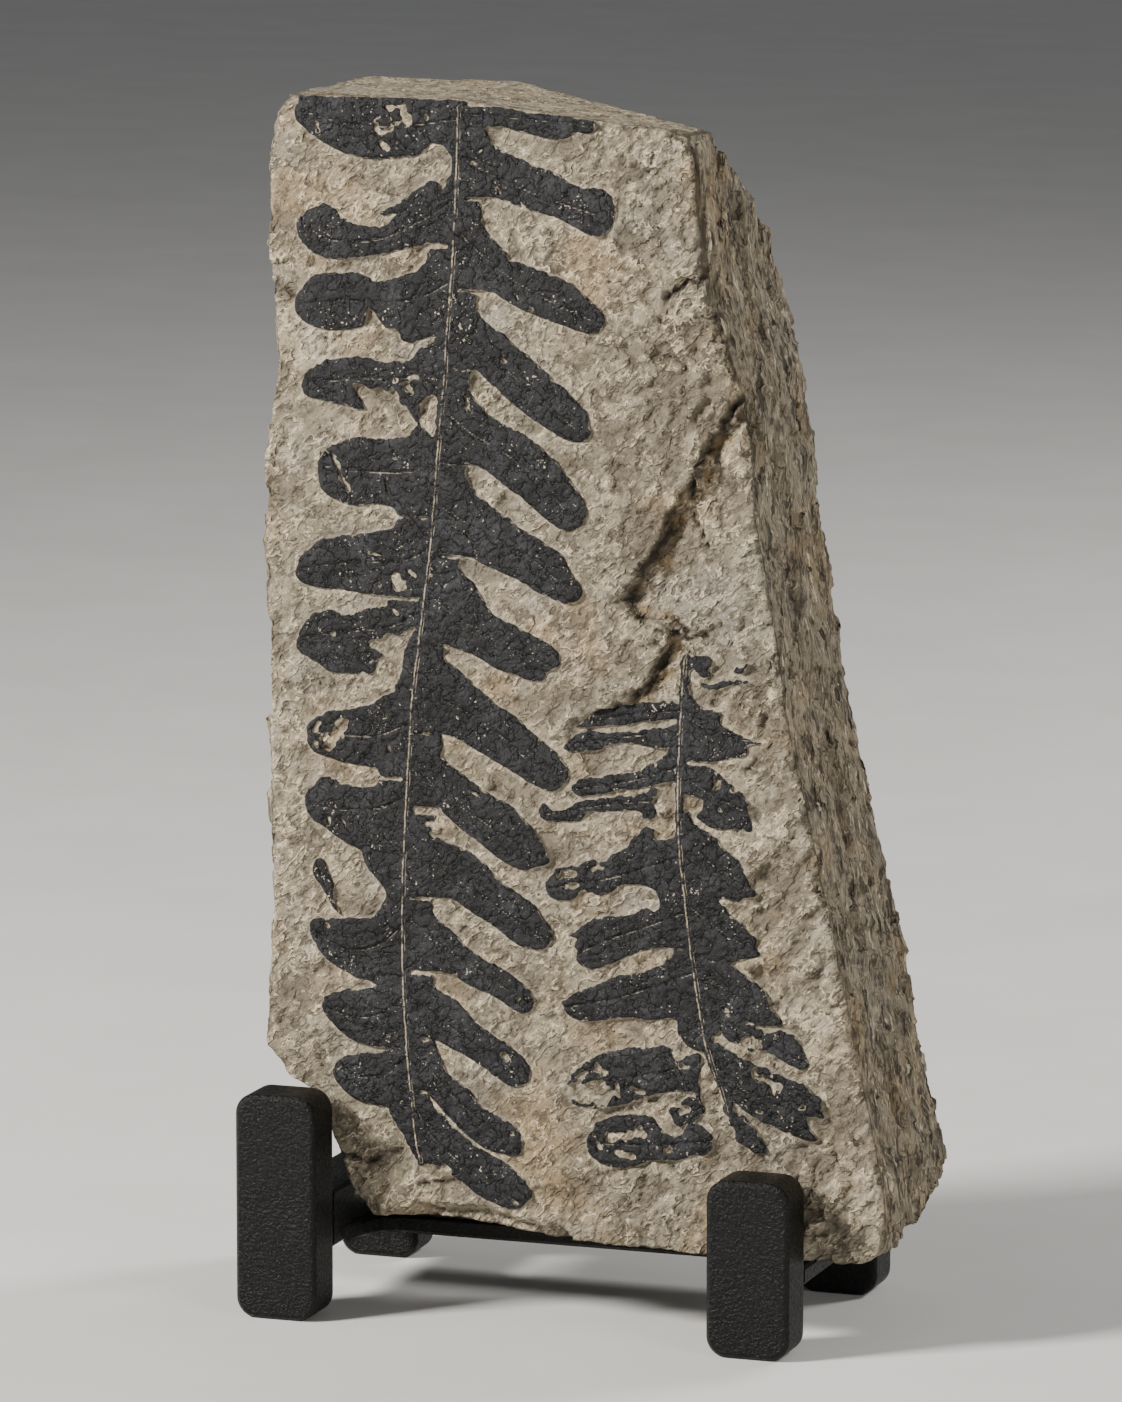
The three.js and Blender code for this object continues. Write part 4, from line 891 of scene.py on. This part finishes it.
def slab_block():
    """The block before its relief: corners, faces, shares of the depth, and what is broken off."""
    corners, faces = box_skin((ACROSS, UPWARD, INWARD), (2, 1, 2, 1, 1, 4))
    faces = [face[::-1] for face in faces]
    shares = corners / np.array([ACROSS, UPWARD, INWARD])
    s, t, w = shares.T
    u, v = slab_outline(s, t)
    width = np.interp(v, *np.array(RIGHT_SIDE).T) - np.interp(v, *np.array(LEFT_SIDE).T)
    points = np.stack([u, w * SLAB_DEPTH, v + w * SLAB_DEPTH * math.tan(LEAN)], axis=1)
    points[:, 0] += np.where(s == 1, layer_offset(RIGHT_LAYERS, w, v), 0)
    points[:, 0] += np.where(s == 0, layer_offset(LEFT_LAYERS, w, v), 0)
    lengths = np.stack([width, np.full(len(u), SLAB_DEPTH), np.full(len(u), SLAB_HEIGHT)], axis=1)
    right_front = smoothstep(0.9, 1, s) * smoothstep(0.3, 0, w)
    wear = 1.3 + (1.5 + 2.2 * smoothstep(0.5, 0.8, t)) * right_front
    wear = wear + (TOP_WEAR - wear) * smoothstep(0.98, 0.995, t) * smoothstep(0.95, 0.85, s)
    wear *= 1 + 0.4 * noise(points, 12, 140) * smoothstep(0.995, 0.97, t)
    points = rounded(points, shares[:, [0, 2, 1]], lengths, np.clip(wear, 0.5, 7))
    broken = push_to_break(points, TOP_CORNER_BREAK) | push_to_break(points, FOOT_CORNER_BREAK)
    return points, faces, w, broken


def facing_shares(normal, w):
    """How much each corner belongs to the front, to a side, to the top and to the rest of the block."""
    front = np.clip(-normal[:, 1], 0, 1)**2 * (w < 0.02)
    side = normal[:, 0]**2 * (1 - front)
    top = np.clip(normal[:, 2], 0, 1)**2 * (1 - front)
    return front, side, top, np.clip(1 - front - side - top, 0, 1)


def outer_lift(points, broken, side, top, rest):
    """How far the stone stands out beside the front: on the sides, the top, the back and the breaks."""
    chips = flakes(points, 3.0, 6, 1.0)
    top_bands = flakes(points * (0.13, 1, 1), 1.5, 7, 0.8)
    top_lift = 0.32 * top_bands + 0.3 * rough(points, 16, 3, 165) - 0.2
    rest_lift = 0.5 * chips + 0.7 * rough(points, 22, 3, 170) + 0.9 * flakes(points, 9, 8, 0.9) - 0.6
    break_lift = 0.6 * chips + 1.1 * flakes(points * (1, 1, 0.6), 7, 9, 0.9) - 0.5
    whole_lift = side * (side_relief(points) - 0.5) + top * top_lift + rest * rest_lift
    return np.where(broken, break_lift, whole_lift)


def clear_of_stand(points, v):
    """Keeps the stone just above its seat and just behind the front posts."""
    under = points[:, 2] - points[:, 1] * math.tan(LEAN)
    points[:, 2] += np.maximum(FOOT_CLEARANCE - under, 0)
    points[(points[:, 1] < POST_CLEARANCE) & (v < POST_REACH), 1] = POST_CLEARANCE


def make_slab():
    points, faces, w, broken = slab_block()
    skin_normal = grid_normals(points, faces)
    front, side, top, rest = facing_shares(skin_normal, w)
    u, v = points[:, 0], points[:, 2] - points[:, 1] * math.tan(LEAN)
    cracks = crack_depth(u, v)
    bed = smoothstep(1.0, -0.4, from_grid(ALL_FILM, u, v)) * front
    front_lift = fine_relief(u, v) * (1 - 0.88 * bed) - 0.1 * bed
    outer = outer_lift(points, broken, side, top, rest)
    lift = np.where(broken, outer, front * front_lift + outer)

    moved = points + skin_normal * lift[:, None]
    moved[:, 1] += (broad_relief(u, v) + cracks) * np.clip(1 - points[:, 1] / 15, 0, 1)
    clear_of_stand(moved, v)
    low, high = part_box("slab")
    world = np.clip(slab_to_world(*moved.T), np.array(low), np.array(high))
    obj = mesh_object("slab_stone", world, faces)

    inside = inside_hollow(u, v)
    hollow = smoothstep(0.5, 2, hollow_depth(u, v))
    dark = smoothstep(-0.3, 0.3, inside) * smoothstep(2.0, 0.9, inside) * hollow
    dark = np.maximum(dark, smoothstep(0.15, 0.8, cracks))
    set_numbers(obj, {
        "bed": bed,
        "side": np.clip(side + 0.35 * top + 0.5 * rest, 0, 1),
        "lift": np.clip(0.5 + 0.6 * (front * front_lift + 0.15 * (1 - front)), 0, 1),
        "dark": np.clip(dark, 0, 1) * front,
        "ochre": smoothstep(6, 1.5, inside) * smoothstep(-0.5, 0.5, inside) * hollow * front,
        "rusty": zone_share(u, v, RUSTY_ZONES) * front,
        "pale": zone_share(u, v, PALE_ZONES) * front,
    })
    shade_smooth(obj)
    return obj


# Mesh helpers

def mesh_object(name, vertices, faces):
    mesh = bpy.data.meshes.new(name)
    mesh.from_pydata(vertices.tolist(), [], faces if isinstance(faces, list) else faces.tolist())
    mesh.update()
    obj = bpy.data.objects.new(name, mesh)
    bpy.context.scene.collection.objects.link(obj)
    return obj


def set_numbers(obj, numbers):
    """Keeps named numbers for each vertex, for the material to read."""
    for name, values in numbers.items():
        layer = obj.data.attributes.new(name, "FLOAT", "POINT")
        layer.data.foreach_set("value", np.asarray(values, np.float32))


def shade_smooth(obj):
    obj.data.polygons.foreach_set("use_smooth", np.ones(len(obj.data.polygons), bool))
    obj.data.update()


# Leaf film meshes

CORNERS = ((0, 0), (0, 1), (1, 1), (1, 0))
BLOCK = 4


def contour_mesh(outside):
    """Points and triangles for the area below zero, and faces for the underside with large cells inside."""
    rows, columns = outside.shape
    inside = outside < 0
    number = np.full(outside.shape, -1)
    number[inside] = np.arange(inside.sum())
    points = [np.stack([GRID_U[inside], GRID_V[inside]], axis=1)]
    count = int(inside.sum())
    edges = []
    for dr, dc in ((0, 1), (1, 0)):
        first = outside[:rows - dr, :columns - dc]
        second = outside[dr:, dc:]
        crossing = (first < 0) != (second < 0)
        share = np.clip(first[crossing] / (first[crossing] - second[crossing]), 0.08, 0.92)
        r, c = np.nonzero(crossing)
        u, v = FILM_U[c] + dc * share * FILM_STEP, FILM_V[r] + dr * share * FILM_STEP
        points.append(np.stack([u, v], axis=1))
        ids = np.full(crossing.shape, -1)
        ids[crossing] = count + np.arange(len(r))
        count += len(r)
        edges.append(ids)
    case = np.zeros((rows - 1, columns - 1), int)
    for k, (dr, dc) in enumerate(CORNERS):
        case += inside[dr:rows - 1 + dr, dc:columns - 1 + dc].astype(int) << k
    blocks = whole_blocks(case)
    in_block = np.zeros(case.shape, bool)
    for r, c in blocks:
        in_block[r:r + BLOCK, c:c + BLOCK] = True
    top = []
    under = []
    for kind in range(1, 16):
        for covered, places in ((True, [top]), (False, [top, under])):
            r, c = np.nonzero((case == kind) & (in_block == covered))
            fans = cell_fans(kind, r, c, number, edges)
            for place in places:
                place += fans
    under_faces = np.vstack(under)[:, ::-1].tolist()
    taken = {(r, c) for r, c in blocks}
    for r, c in taken:
        ring = block_ring(r, c, taken)
        under_faces.append([int(number[p, q]) for p, q in ring][::-1])
    return np.vstack(points), np.vstack(top), under_faces


def cell_fans(kind, r, c, number, edges):
    """Triangles that fill the inner part of each listed cell."""
    flat, upright = edges
    right = np.minimum(c + 1, upright.shape[1] - 1)
    edge_ids = (flat[r, c], upright[r, right], flat[r + 1, c], upright[r, c])
    ring = []
    for k, (dr, dc) in enumerate(CORNERS):
        here, following = kind >> k & 1, kind >> ((k + 1) % 4) & 1
        if here:
            ring.append(number[r + dr, c + dc])
        if here != following:
            ring.append(edge_ids[k])
    return [np.stack([ring[0], ring[k], ring[k + 1]], axis=1) for k in range(1, len(ring) - 1)]


def whole_blocks(case):
    rows, columns = (size // BLOCK for size in case.shape)
    full = (case[:rows * BLOCK, :columns * BLOCK] == 15).reshape(rows, BLOCK, columns, BLOCK).all(axis=(1, 3))
    return [(int(r) * BLOCK, int(c) * BLOCK) for r, c in zip(*np.nonzero(full))]


def block_ring(r, c, taken):
    """The corners round one large cell, with the fine corners where its neighbour isn't a large cell."""
    steps = [1 if neighbour not in taken else BLOCK
             for neighbour in ((r - BLOCK, c), (r, c + BLOCK), (r + BLOCK, c), (r, c - BLOCK))]
    ring = [(r, q) for q in range(c, c + BLOCK, steps[0])]
    ring += [(p, c + BLOCK) for p in range(r, r + BLOCK, steps[1])]
    ring += [(r + BLOCK, q) for q in range(c + BLOCK, c, -steps[2])]
    ring += [(p, c) for p in range(r + BLOCK, r, -steps[3])]
    return ring


def drop_islands(outside, least):
    """Removes scraps of film with fewer grid points than the least allowed."""
    inside = outside < 0
    label = np.where(inside, np.arange(outside.size).reshape(outside.shape), -1)
    for _ in range(600):
        spread = label.copy()
        spread[1:] = np.maximum(spread[1:], label[:-1])
        spread[:-1] = np.maximum(spread[:-1], label[1:])
        spread[:, 1:] = np.maximum(spread[:, 1:], label[:, :-1])
        spread[:, :-1] = np.maximum(spread[:, :-1], label[:, 1:])
        spread = np.where(inside, spread, -1)
        if np.array_equal(spread, label):
            break
        label = spread
    names, sizes = np.unique(label[inside], return_counts=True)
    return np.where(inside & np.isin(label, names[sizes < least]), 0.2, outside)


def film_thickness(film, outside, u, v):
    """Thickness of the film, and the fields its material reads."""
    points = flat_points(u, v)
    within = np.maximum(-from_grid(outside, u, v), 0)
    rib, vein, along = (from_grid(field, u, v) for field in (film.rib, film.vein, film.along))
    pillow = FILM_PILLOW * (1 - np.exp(-within / 1.2))
    groove = 0.4 * np.exp(-(vein / 0.5)**2) + 0.3 * np.exp(-(rib / 0.3)**2)
    ridge = 0.2 * np.exp(-((np.abs(rib) - 0.5) / 0.3)**2) + 0.12 * np.exp(-((vein - 0.9) / 0.5)**2)
    slant = along - 0.7 * np.minimum(vein, np.abs(rib))
    ribbing = 0.06 * np.sin(5.2 * slant + 2.5 * noise(points, 6, 200)) * smoothstep(0.3, 1.5, within)
    folds = np.abs(noise(points + 0.8 * noise(points, 3, 212)[:, None], 4.5, 211))
    leather = 0.2 * rough(points, 2.6, 3, 210) + 0.2 * noise(points, 7, 215) + 0.5 * np.minimum(folds, 0.35)
    curl = 0.16 * smoothstep(1.2, 0.3, within) * np.maximum(noise(points, 4, 220), 0)
    thick = FILM_EDGE + pillow + ridge + ribbing + leather + curl - groove * smoothstep(0, 1, within)
    return np.maximum(thick, 0.12), {"rib": rib, "vein": vein, "edge": within}


def film_object(name, film):
    outside = drop_islands(film.outside, LEAST_ISLAND)
    flat, triangles, under = contour_mesh(outside)
    u, v = flat.T
    thick, fields = film_thickness(film, outside, u, v)
    bed = broad_relief(u, v) + top_rounding(u, v)
    top = slab_to_world(u, bed - thick, v)
    bottom = slab_to_world(u, bed + FILM_EMBED, v)
    count = len(u)
    sides = np.vstack([triangles[:, [0, 1]], triangles[:, [1, 2]], triangles[:, [2, 0]]])
    keys = np.sort(sides, axis=1) @ np.array([count, 1])
    _, first, repeats = np.unique(keys, return_index=True, return_counts=True)
    border = sides[first[repeats == 1]]
    walls = np.stack([border[:, 1], border[:, 0], border[:, 0] + count, border[:, 1] + count], axis=1)
    faces = triangles.tolist() + walls.tolist() + [[k + count for k in face] for face in under]
    used = np.unique(np.concatenate([np.array(face) for face in faces]))
    renumber = np.full(2 * count, -1)
    renumber[used] = np.arange(len(used))
    faces = [renumber[face].tolist() for face in faces]
    obj = mesh_object(name, np.vstack([top, bottom])[used], faces)
    set_numbers(obj, {key: np.tile(values, 2)[used] for key, values in fields.items()})
    shade_smooth(obj)
    return obj


# Materials

class Nodes:
    """A small helper that builds one material's nodes."""

    def __init__(self, name):
        self.material = bpy.data.materials.new(name)
        self.material.use_nodes = True
        self.tree = self.material.node_tree
        self.tree.nodes.clear()
        self.shader = self.add("ShaderNodeBsdfPrincipled")
        output = self.add("ShaderNodeOutputMaterial")
        self.tree.links.new(self.shader.outputs[0], output.inputs[0])
        self.place = self.vector("MULTIPLY", self.add("ShaderNodeTexCoord").outputs["Object"], (1 / MM,) * 3)

    def add(self, kind, **settings):
        node = self.tree.nodes.new(kind)
        for key, value in settings.items():
            setattr(node, key, value)
        return node

    def put(self, socket, value):
        if isinstance(value, bpy.types.NodeSocket):
            self.tree.links.new(value, socket)
        else:
            socket.default_value = value

    def vector(self, operation, a, b):
        node = self.add("ShaderNodeVectorMath", operation=operation)
        self.put(node.inputs[0], a)
        self.put(node.inputs[1], b)
        return node.outputs[0]

    def maths(self, operation, a, b=0.0):
        node = self.add("ShaderNodeMath", operation=operation)
        self.put(node.inputs[0], a)
        self.put(node.inputs[1], b)
        return node.outputs[0]

    def sum(self, *weighted):
        """Adds up sockets, each with its own weight."""
        total = self.maths("MULTIPLY", *weighted[0])
        for value, weight in weighted[1:]:
            total = self.maths("ADD", total, self.maths("MULTIPLY", value, weight))
        return total

    def noise(self, size, detail=4.0, rough=0.55, place=None, output=0):
        node = self.add("ShaderNodeTexNoise")
        self.put(node.inputs["Vector"], place or self.place)
        self.put(node.inputs["Scale"], 1 / size)
        self.put(node.inputs["Detail"], detail)
        self.put(node.inputs["Roughness"], rough)
        return node.outputs[output]

    def wander(self, place, size, amount):
        """A place pushed about by noise, in mm."""
        push = self.vector("SUBTRACT", self.noise(size, 3, place=place, output=1), (0.5, 0.5, 0.5))
        return self.vector("ADD", place, self.vector("MULTIPLY", push, (amount,) * 3))

    def pick(self, share, a, b):
        """A blend of two vectors."""
        node = self.add("ShaderNodeMix", data_type="VECTOR")
        for socket, value in ((node.inputs[0], share), (node.inputs[4], a), (node.inputs[5], b)):
            self.put(socket, value)
        return node.outputs[1]

    def turned(self, place, axis, angle):
        node = self.add("ShaderNodeVectorRotate", rotation_type=axis)
        self.put(node.inputs["Vector"], place)
        self.put(node.inputs["Angle"], angle)
        return node.outputs[0]

    def attribute(self, name):
        return self.add("ShaderNodeAttribute", attribute_name=name).outputs["Fac"]

    def ramp(self, value, *stops):
        node = self.add("ShaderNodeValToRGB")
        self.put(node.inputs[0], value)
        elements = node.color_ramp.elements
        while len(elements) < len(stops):
            elements.new(0.5)
        for element, (at, colour) in zip(elements, stops):
            element.position = at
            element.color = (*colour, 1)
        return node.outputs[0]

    def range(self, value, low, high, out_low=0.0, out_high=1.0):
        node = self.add("ShaderNodeMapRange", interpolation_type="SMOOTHSTEP")
        for socket, number in zip(node.inputs, (value, low, high, out_low, out_high)):
            self.put(socket, number)
        return node.outputs[0]

    def mix(self, share, a, b, blend="MIX"):
        node = self.add("ShaderNodeMix", data_type="RGBA", blend_type=blend)
        self.put(node.inputs[0], share)
        for socket, value in ((node.inputs[6], a), (node.inputs[7], b)):
            self.put(socket, (*value, 1) if isinstance(value, tuple) else value)
        return node.outputs[2]

    def product(self, value, *others):
        for other in others:
            value = self.maths("MULTIPLY", value, other)
        return value

    def tint(self, colour, tone, *shares):
        """Blends a tone into a colour, by the product of the shares."""
        return self.mix(self.product(*shares), colour, tone)

    def bump(self, height, distance_mm, strength=1.0, normal=None):
        node = self.add("ShaderNodeBump")
        self.put(node.inputs["Strength"], strength)
        self.put(node.inputs["Distance"], distance_mm * MM)
        self.put(node.inputs["Height"], height)
        if normal is not None:
            self.put(node.inputs["Normal"], normal)
        return node.outputs[0]

    def finish(self, colour, roughness, normal, specular=0.3):
        self.put(self.shader.inputs["Base Color"], colour)
        self.put(self.shader.inputs["Roughness"], roughness)
        self.put(self.shader.inputs["Normal"], normal)
        self.shader.inputs["Specular IOR Level"].default_value = specular
        return self.material


def shale_steps(n, place, size, count):
    """Thin layers of stone: stepped heights, a tone for each layer, and the lines along their edges."""
    bent = n.wander(place, 0.5 * size, 0.35 * size)
    scaled = n.maths("MULTIPLY", n.noise(size, 3, 0.6, bent), count)
    step = n.maths("FLOOR", scaled)
    rise = n.maths("SUBTRACT", scaled, step)
    height = n.maths("ADD", step, n.range(rise, 0.7, 1))
    tone = n.maths("FRACT", n.maths("MULTIPLY", step, 0.618))
    lip = n.range(rise, 0.04, 0.22, 1, 0)
    foot = n.range(n.maths("ABSOLUTE", n.maths("SUBTRACT", rise, 0.68)), 0.04, 0.22, 1, 0)
    return height, tone, lip, foot


def shale_material():
    n = Nodes("shale")
    names = ("lift", "bed", "side", "dark", "ochre", "rusty", "pale")
    lift, bed, side, dark, ochre, rusty, pale = (n.attribute(name) for name in names)
    own = n.turned(n.place, "X_AXIS", LEAN)
    slanted = n.vector("MULTIPLY", n.turned(own, "Y_AXIS", 0.75), (0.55, 1.0, 1.0))
    layered = n.vector("MULTIPLY", own, (0.5, 1.2, 0.22))
    place = n.pick(n.range(side, 0.3, 0.6), slanted, layered)
    height, tone, lip, foot = shale_steps(n, place, 6.5, 7.0)
    small_height, small_tone, small_lip, small_foot = shale_steps(n, place, 2.5, 5.0)
    grain = n.noise(1.1, 5, 0.75, place)
    medium = n.noise(8, 5, 0.62)

    mixed = n.sum((medium, 0.55), (grain, 0.35), (tone, 0.05), (small_tone, 0.05))
    colour = n.ramp(mixed, (0.36, STONE_DARK), (0.5, STONE_MID), (0.64, STONE_LIGHT))
    colour = n.tint(colour, OCHRE_BLOOM, n.range(n.noise(21, 4, 0.65), 0.47, 0.66, 0.0, 0.6))
    colour = n.tint(colour, GREY_BLOOM, n.range(n.noise(30, 3), 0.5, 0.7, 0.0, 0.4))
    colour = n.tint(colour, RUST, rusty, n.range(medium, 0.3, 0.7, 0.25, 0.8))
    colour = n.tint(colour, PALE_STONE, pale, n.range(medium, 0.3, 0.7, 0.2, 0.6))
    feet = n.maths("MAXIMUM", n.product(foot, 0.9), small_foot)
    colour = n.tint(colour, STEP_SHADOW, feet, n.range(n.noise(3.2, 3), 0.42, 0.56, 0, 0.85))
    # Painted shade: the low places of the front are darkened, broken up by the grain
    colour = n.tint(colour, PIT_SHADE, n.range(n.sum((grain, 0.55), (lift, 0.45)), 0.35, 0.48, 0.5, 0))
    # Cream step lips with a painted highlight: lighter where the front stands higher, and less on the sides
    lips = n.maths("MAXIMUM", lip, n.product(small_lip, 0.8))
    raised = n.range(n.sum((n.noise(2.3, 3), 0.75), (lift, 0.3)), 0.46, 0.58, 0, 0.75)
    colour = n.tint(colour, LIP_CREAM_AND_HIGHLIGHT, lips, raised, n.range(side, 0, 1, 1, 0.45))
    colour = n.tint(colour, CRUMB, ochre, n.range(n.noise(3.5, 4), 0.45, 0.6, 0.0, 0.75))
    gaps = n.range(n.noise(2.2, 3, 0.6, slanted), 0.38, 0.5, 0.45, 0.97)
    colour = n.tint(colour, CRACK_SHADE, dark, gaps)
    colour = n.tint(colour, FILM_BED, bed, 0.5)

    # Painted shade: the sides, and less so the top, back and breaks, are darkened by a multiply
    colour = n.mix(n.product(side, 0.6), colour, SIDE_SHADE_TONE, "MULTIPLY")
    slots = n.noise(2.2, 3, 0.6, n.vector("MULTIPLY", n.wander(own, 5, 2), (0.6, 1.0, 0.16)))
    streaks = n.noise(1.7, 3, 0.6, n.vector("MULTIPLY", n.wander(own, 4, 2), (0.6, 1.0, 0.2)))
    # Painted shade in the grooves between the side layers
    colour = n.tint(colour, SIDE_SLOT_SHADE, side, n.range(slots, 0.36, 0.44, 0.9, 0))
    colour = n.tint(colour, SIDE_STREAK, side, n.range(streaks, 0.62, 0.68, 0, 0.7))

    spread = n.range(n.maths("SUBTRACT", 1.0, bed), 0, 1, 0.4, 1.0)
    normal = n.bump(n.noise(0.45, 2), 0.2, 0.9)
    normal = n.bump(grain, 1.2, spread, normal)
    normal = n.bump(small_height, 0.22, spread, normal)
    normal = n.bump(height, 0.5, spread, normal)
    normal = n.bump(n.range(slots, 0.34, 0.5), 0.8, side, normal)
    return n.finish(colour, n.range(grain, 0.3, 0.7, 0.72, 0.92), normal, 0.25)


def leaf_material():
    n = Nodes("leaf_film")
    rib, vein, edge = (n.attribute(name) for name in ("rib", "vein", "edge"))
    shake = n.maths("SUBTRACT", n.noise(1.6, 3), 0.5)
    grain = n.noise(0.8, 5, 0.7)
    bent = n.wander(n.place, 3.0, 2.4)
    folds = n.maths("ABSOLUTE", n.maths("SUBTRACT", n.noise(3.6, 2, 0.5, bent), 0.5))
    crease = n.range(folds, 0.0, 0.035, 1, 0)
    mixed = n.sum((grain, 0.55), (n.noise(7, 4, 0.6), 0.45))
    colour = n.ramp(mixed, (0.38, LEAF_DARK), (0.5, LEAF_MID), (0.64, LEAF_LIGHT))
    # Painted shade in the folds of the film
    colour = n.tint(colour, LEAF_CREASE_SHADE, crease, 0.6)
    speck = n.range(n.sum((n.noise(0.7, 2), 0.75), (n.noise(5, 2), 0.35)), 0.71, 0.73)
    colour = n.tint(colour, LEAF_SPECK, speck, 0.85)
    rim = n.range(n.sum((edge, 1.0), (shake, 1.3)), 0.0, 0.14, 0.7, 0)
    colour = n.tint(colour, LEAF_RIM, rim, n.range(n.noise(3.4, 3), 0.42, 0.58))
    near_vein = n.range(n.sum((vein, 1.0), (shake, 0.4)), 0.08, 0.2, 1, 0)
    colour = n.tint(colour, VEIN_LINE, near_vein, n.range(n.noise(3.2, 3), 0.47, 0.57, 0, 0.6))
    for shift, near, far, strength, shown in (
        (0.33, 0.08, 0.2, 0.9, n.range(n.noise(2.4, 4), 0.42, 0.54, 0.1, 1)),
        (-0.36, 0.03, 0.12, 0.7, n.range(n.noise(3.4, 4), 0.49, 0.57)),
    ):
        away = n.maths("ABSOLUTE", n.sum((rib, 1.0), (shake, 0.4), (shift, 1.0)))
        colour = n.tint(colour, RIB_LINE, n.range(away, near, far, strength, 0), shown)
    normal = n.bump(n.sum((grain, 0.7), (n.noise(2.2, 4, 0.6), 1.0)), 0.7, 1.0)
    normal = n.bump(n.sum((crease, -1.0), (n.maths("MINIMUM", folds, 0.12), 6.0)), 0.22, 1.0, normal)
    return n.finish(colour, n.range(grain, 0.3, 0.7, 0.38, 0.62), normal, 0.3)


def powder_coat_material():
    n = Nodes("powder_coat")
    wrinkle = n.noise(0.8, 3, 0.55, n.wander(n.place, 1.6, 1.2))
    colour = n.ramp(wrinkle, (0.35, COAT_DARK), (0.65, COAT_LIGHT))
    normal = n.bump(n.sum((wrinkle, 1.0), (n.noise(0.3, 2), 0.2)), 0.6, 1.0)
    return n.finish(colour, n.range(wrinkle, 0.35, 0.65, 0.46, 0.3), normal, 0.2)


def floor_material():
    n = Nodes("pale_floor")
    mottle = n.noise(60, 3)
    colour = n.ramp(mottle, (0.3, FLOOR_DARK), (0.7, FLOOR_LIGHT))
    return n.finish(colour, 0.75, n.bump(mottle, 0.2, 0.1), 0.2)


# Stand pieces

def post_piece(node):
    """A post in place of its CAD node, with round corners seen from the front and a soft bevel."""
    low, high = (np.array(corner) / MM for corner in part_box(node))
    size = high - low
    counts = [max(4, int(math.ceil(length / POST_CELL))) for length in size]
    corners, faces = box_skin(counts, (1,) * 6)
    shares = corners / np.array(counts)
    points = low + shares * size
    near = np.minimum(shares, 1 - shares) * size
    inward = np.where(shares < 0.5, 1, -1)
    pull = np.maximum(POST_CORNER - near, 0) * (1, 0, 1)
    length = np.maximum(np.linalg.norm(pull, axis=1), 1e-9)
    points += inward * pull * (1 - np.max(pull, axis=1) / length)[:, None]
    slope = np.maximum(POST_BEVEL - near[:, 1], 0)
    drop = POST_BEVEL - np.sqrt(POST_BEVEL**2 - slope**2)
    middle = low + size / 2
    for axis in (0, 2):
        half = size[axis] / 2
        away = np.abs(points[:, axis] - middle[axis]) / half
        points[:, axis] = middle[axis] + (points[:, axis] - middle[axis]) * (1 - drop / half * away**3)
    obj = mesh_object(node + "_coated", points * MM, faces)
    shade_smooth(obj)
    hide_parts(node)
    return obj


# Floor, light and camera

def add_area_light(name, place, size, power, colour):
    light = bpy.data.lights.new(name, "AREA")
    light.size = size
    light.energy = power
    light.color = colour
    obj = bpy.data.objects.new(name, light)
    bpy.context.scene.collection.objects.link(obj)
    obj.location = place
    obj.rotation_euler = (Vector(LIGHT_TARGET) - Vector(place)).to_track_quat("-Z", "Y").to_euler()


def add_floor():
    corners = FLOOR_HALF * np.array([(-1, -1, 0), (1, -1, 0), (1, 1, 0), (-1, 1, 0)], float)
    floor = mesh_object("floor", corners, [[0, 1, 2, 3]])
    floor.data.materials.append(floor_material())


def add_camera():
    """The photograph's camera, fitted to the two front posts."""
    level = math.cos(CAMERA_ELEVATION)
    forward = Vector((
        -math.sin(CAMERA_AZIMUTH) * level, math.cos(CAMERA_AZIMUTH) * level, -math.sin(CAMERA_ELEVATION)
    ))
    camera = bpy.data.objects.new("camera", bpy.data.cameras.new("camera"))
    camera.data.lens = CAMERA_LENS
    camera.data.sensor_width = CAMERA_SENSOR
    x, y, z = CAMERA_PLACE
    camera.location = ((x + SHIFT_X) * MM, (y + SHIFT_Y) * MM, z * MM)
    camera.rotation_euler = forward.to_track_quat("-Z", "Y").to_euler()
    bpy.context.scene.collection.objects.link(camera)
    bpy.context.scene.camera = camera


def add_world():
    world = bpy.data.worlds.new("studio")
    world.use_nodes = True
    background = world.node_tree.nodes["Background"]
    background.inputs["Color"].default_value = SKY_COLOUR
    background.inputs["Strength"].default_value = SKY_STRENGTH
    bpy.context.scene.world = world


# Build everything

slab = make_slab()
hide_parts("slab")
slab.data.materials.append(shale_material())
pieces = [slab]

leaf = leaf_material()
for name, film, node in FILMS:
    piece = film_object(name, film)
    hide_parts(node)
    piece.data.materials.append(leaf)
    pieces.append(piece)

coat = powder_coat_material()
for node in POSTS:
    piece = post_piece(node)
    piece.data.materials.append(coat)
    pieces.append(piece)
for node in PLAIN_BARS:
    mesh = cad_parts[node].data
    mesh.materials.clear()
    mesh.materials.append(coat)

for piece in pieces:
    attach(piece, "root")

add_camera()
add_floor()
add_world()
for settings in LIGHTS:
    add_area_light(*settings)
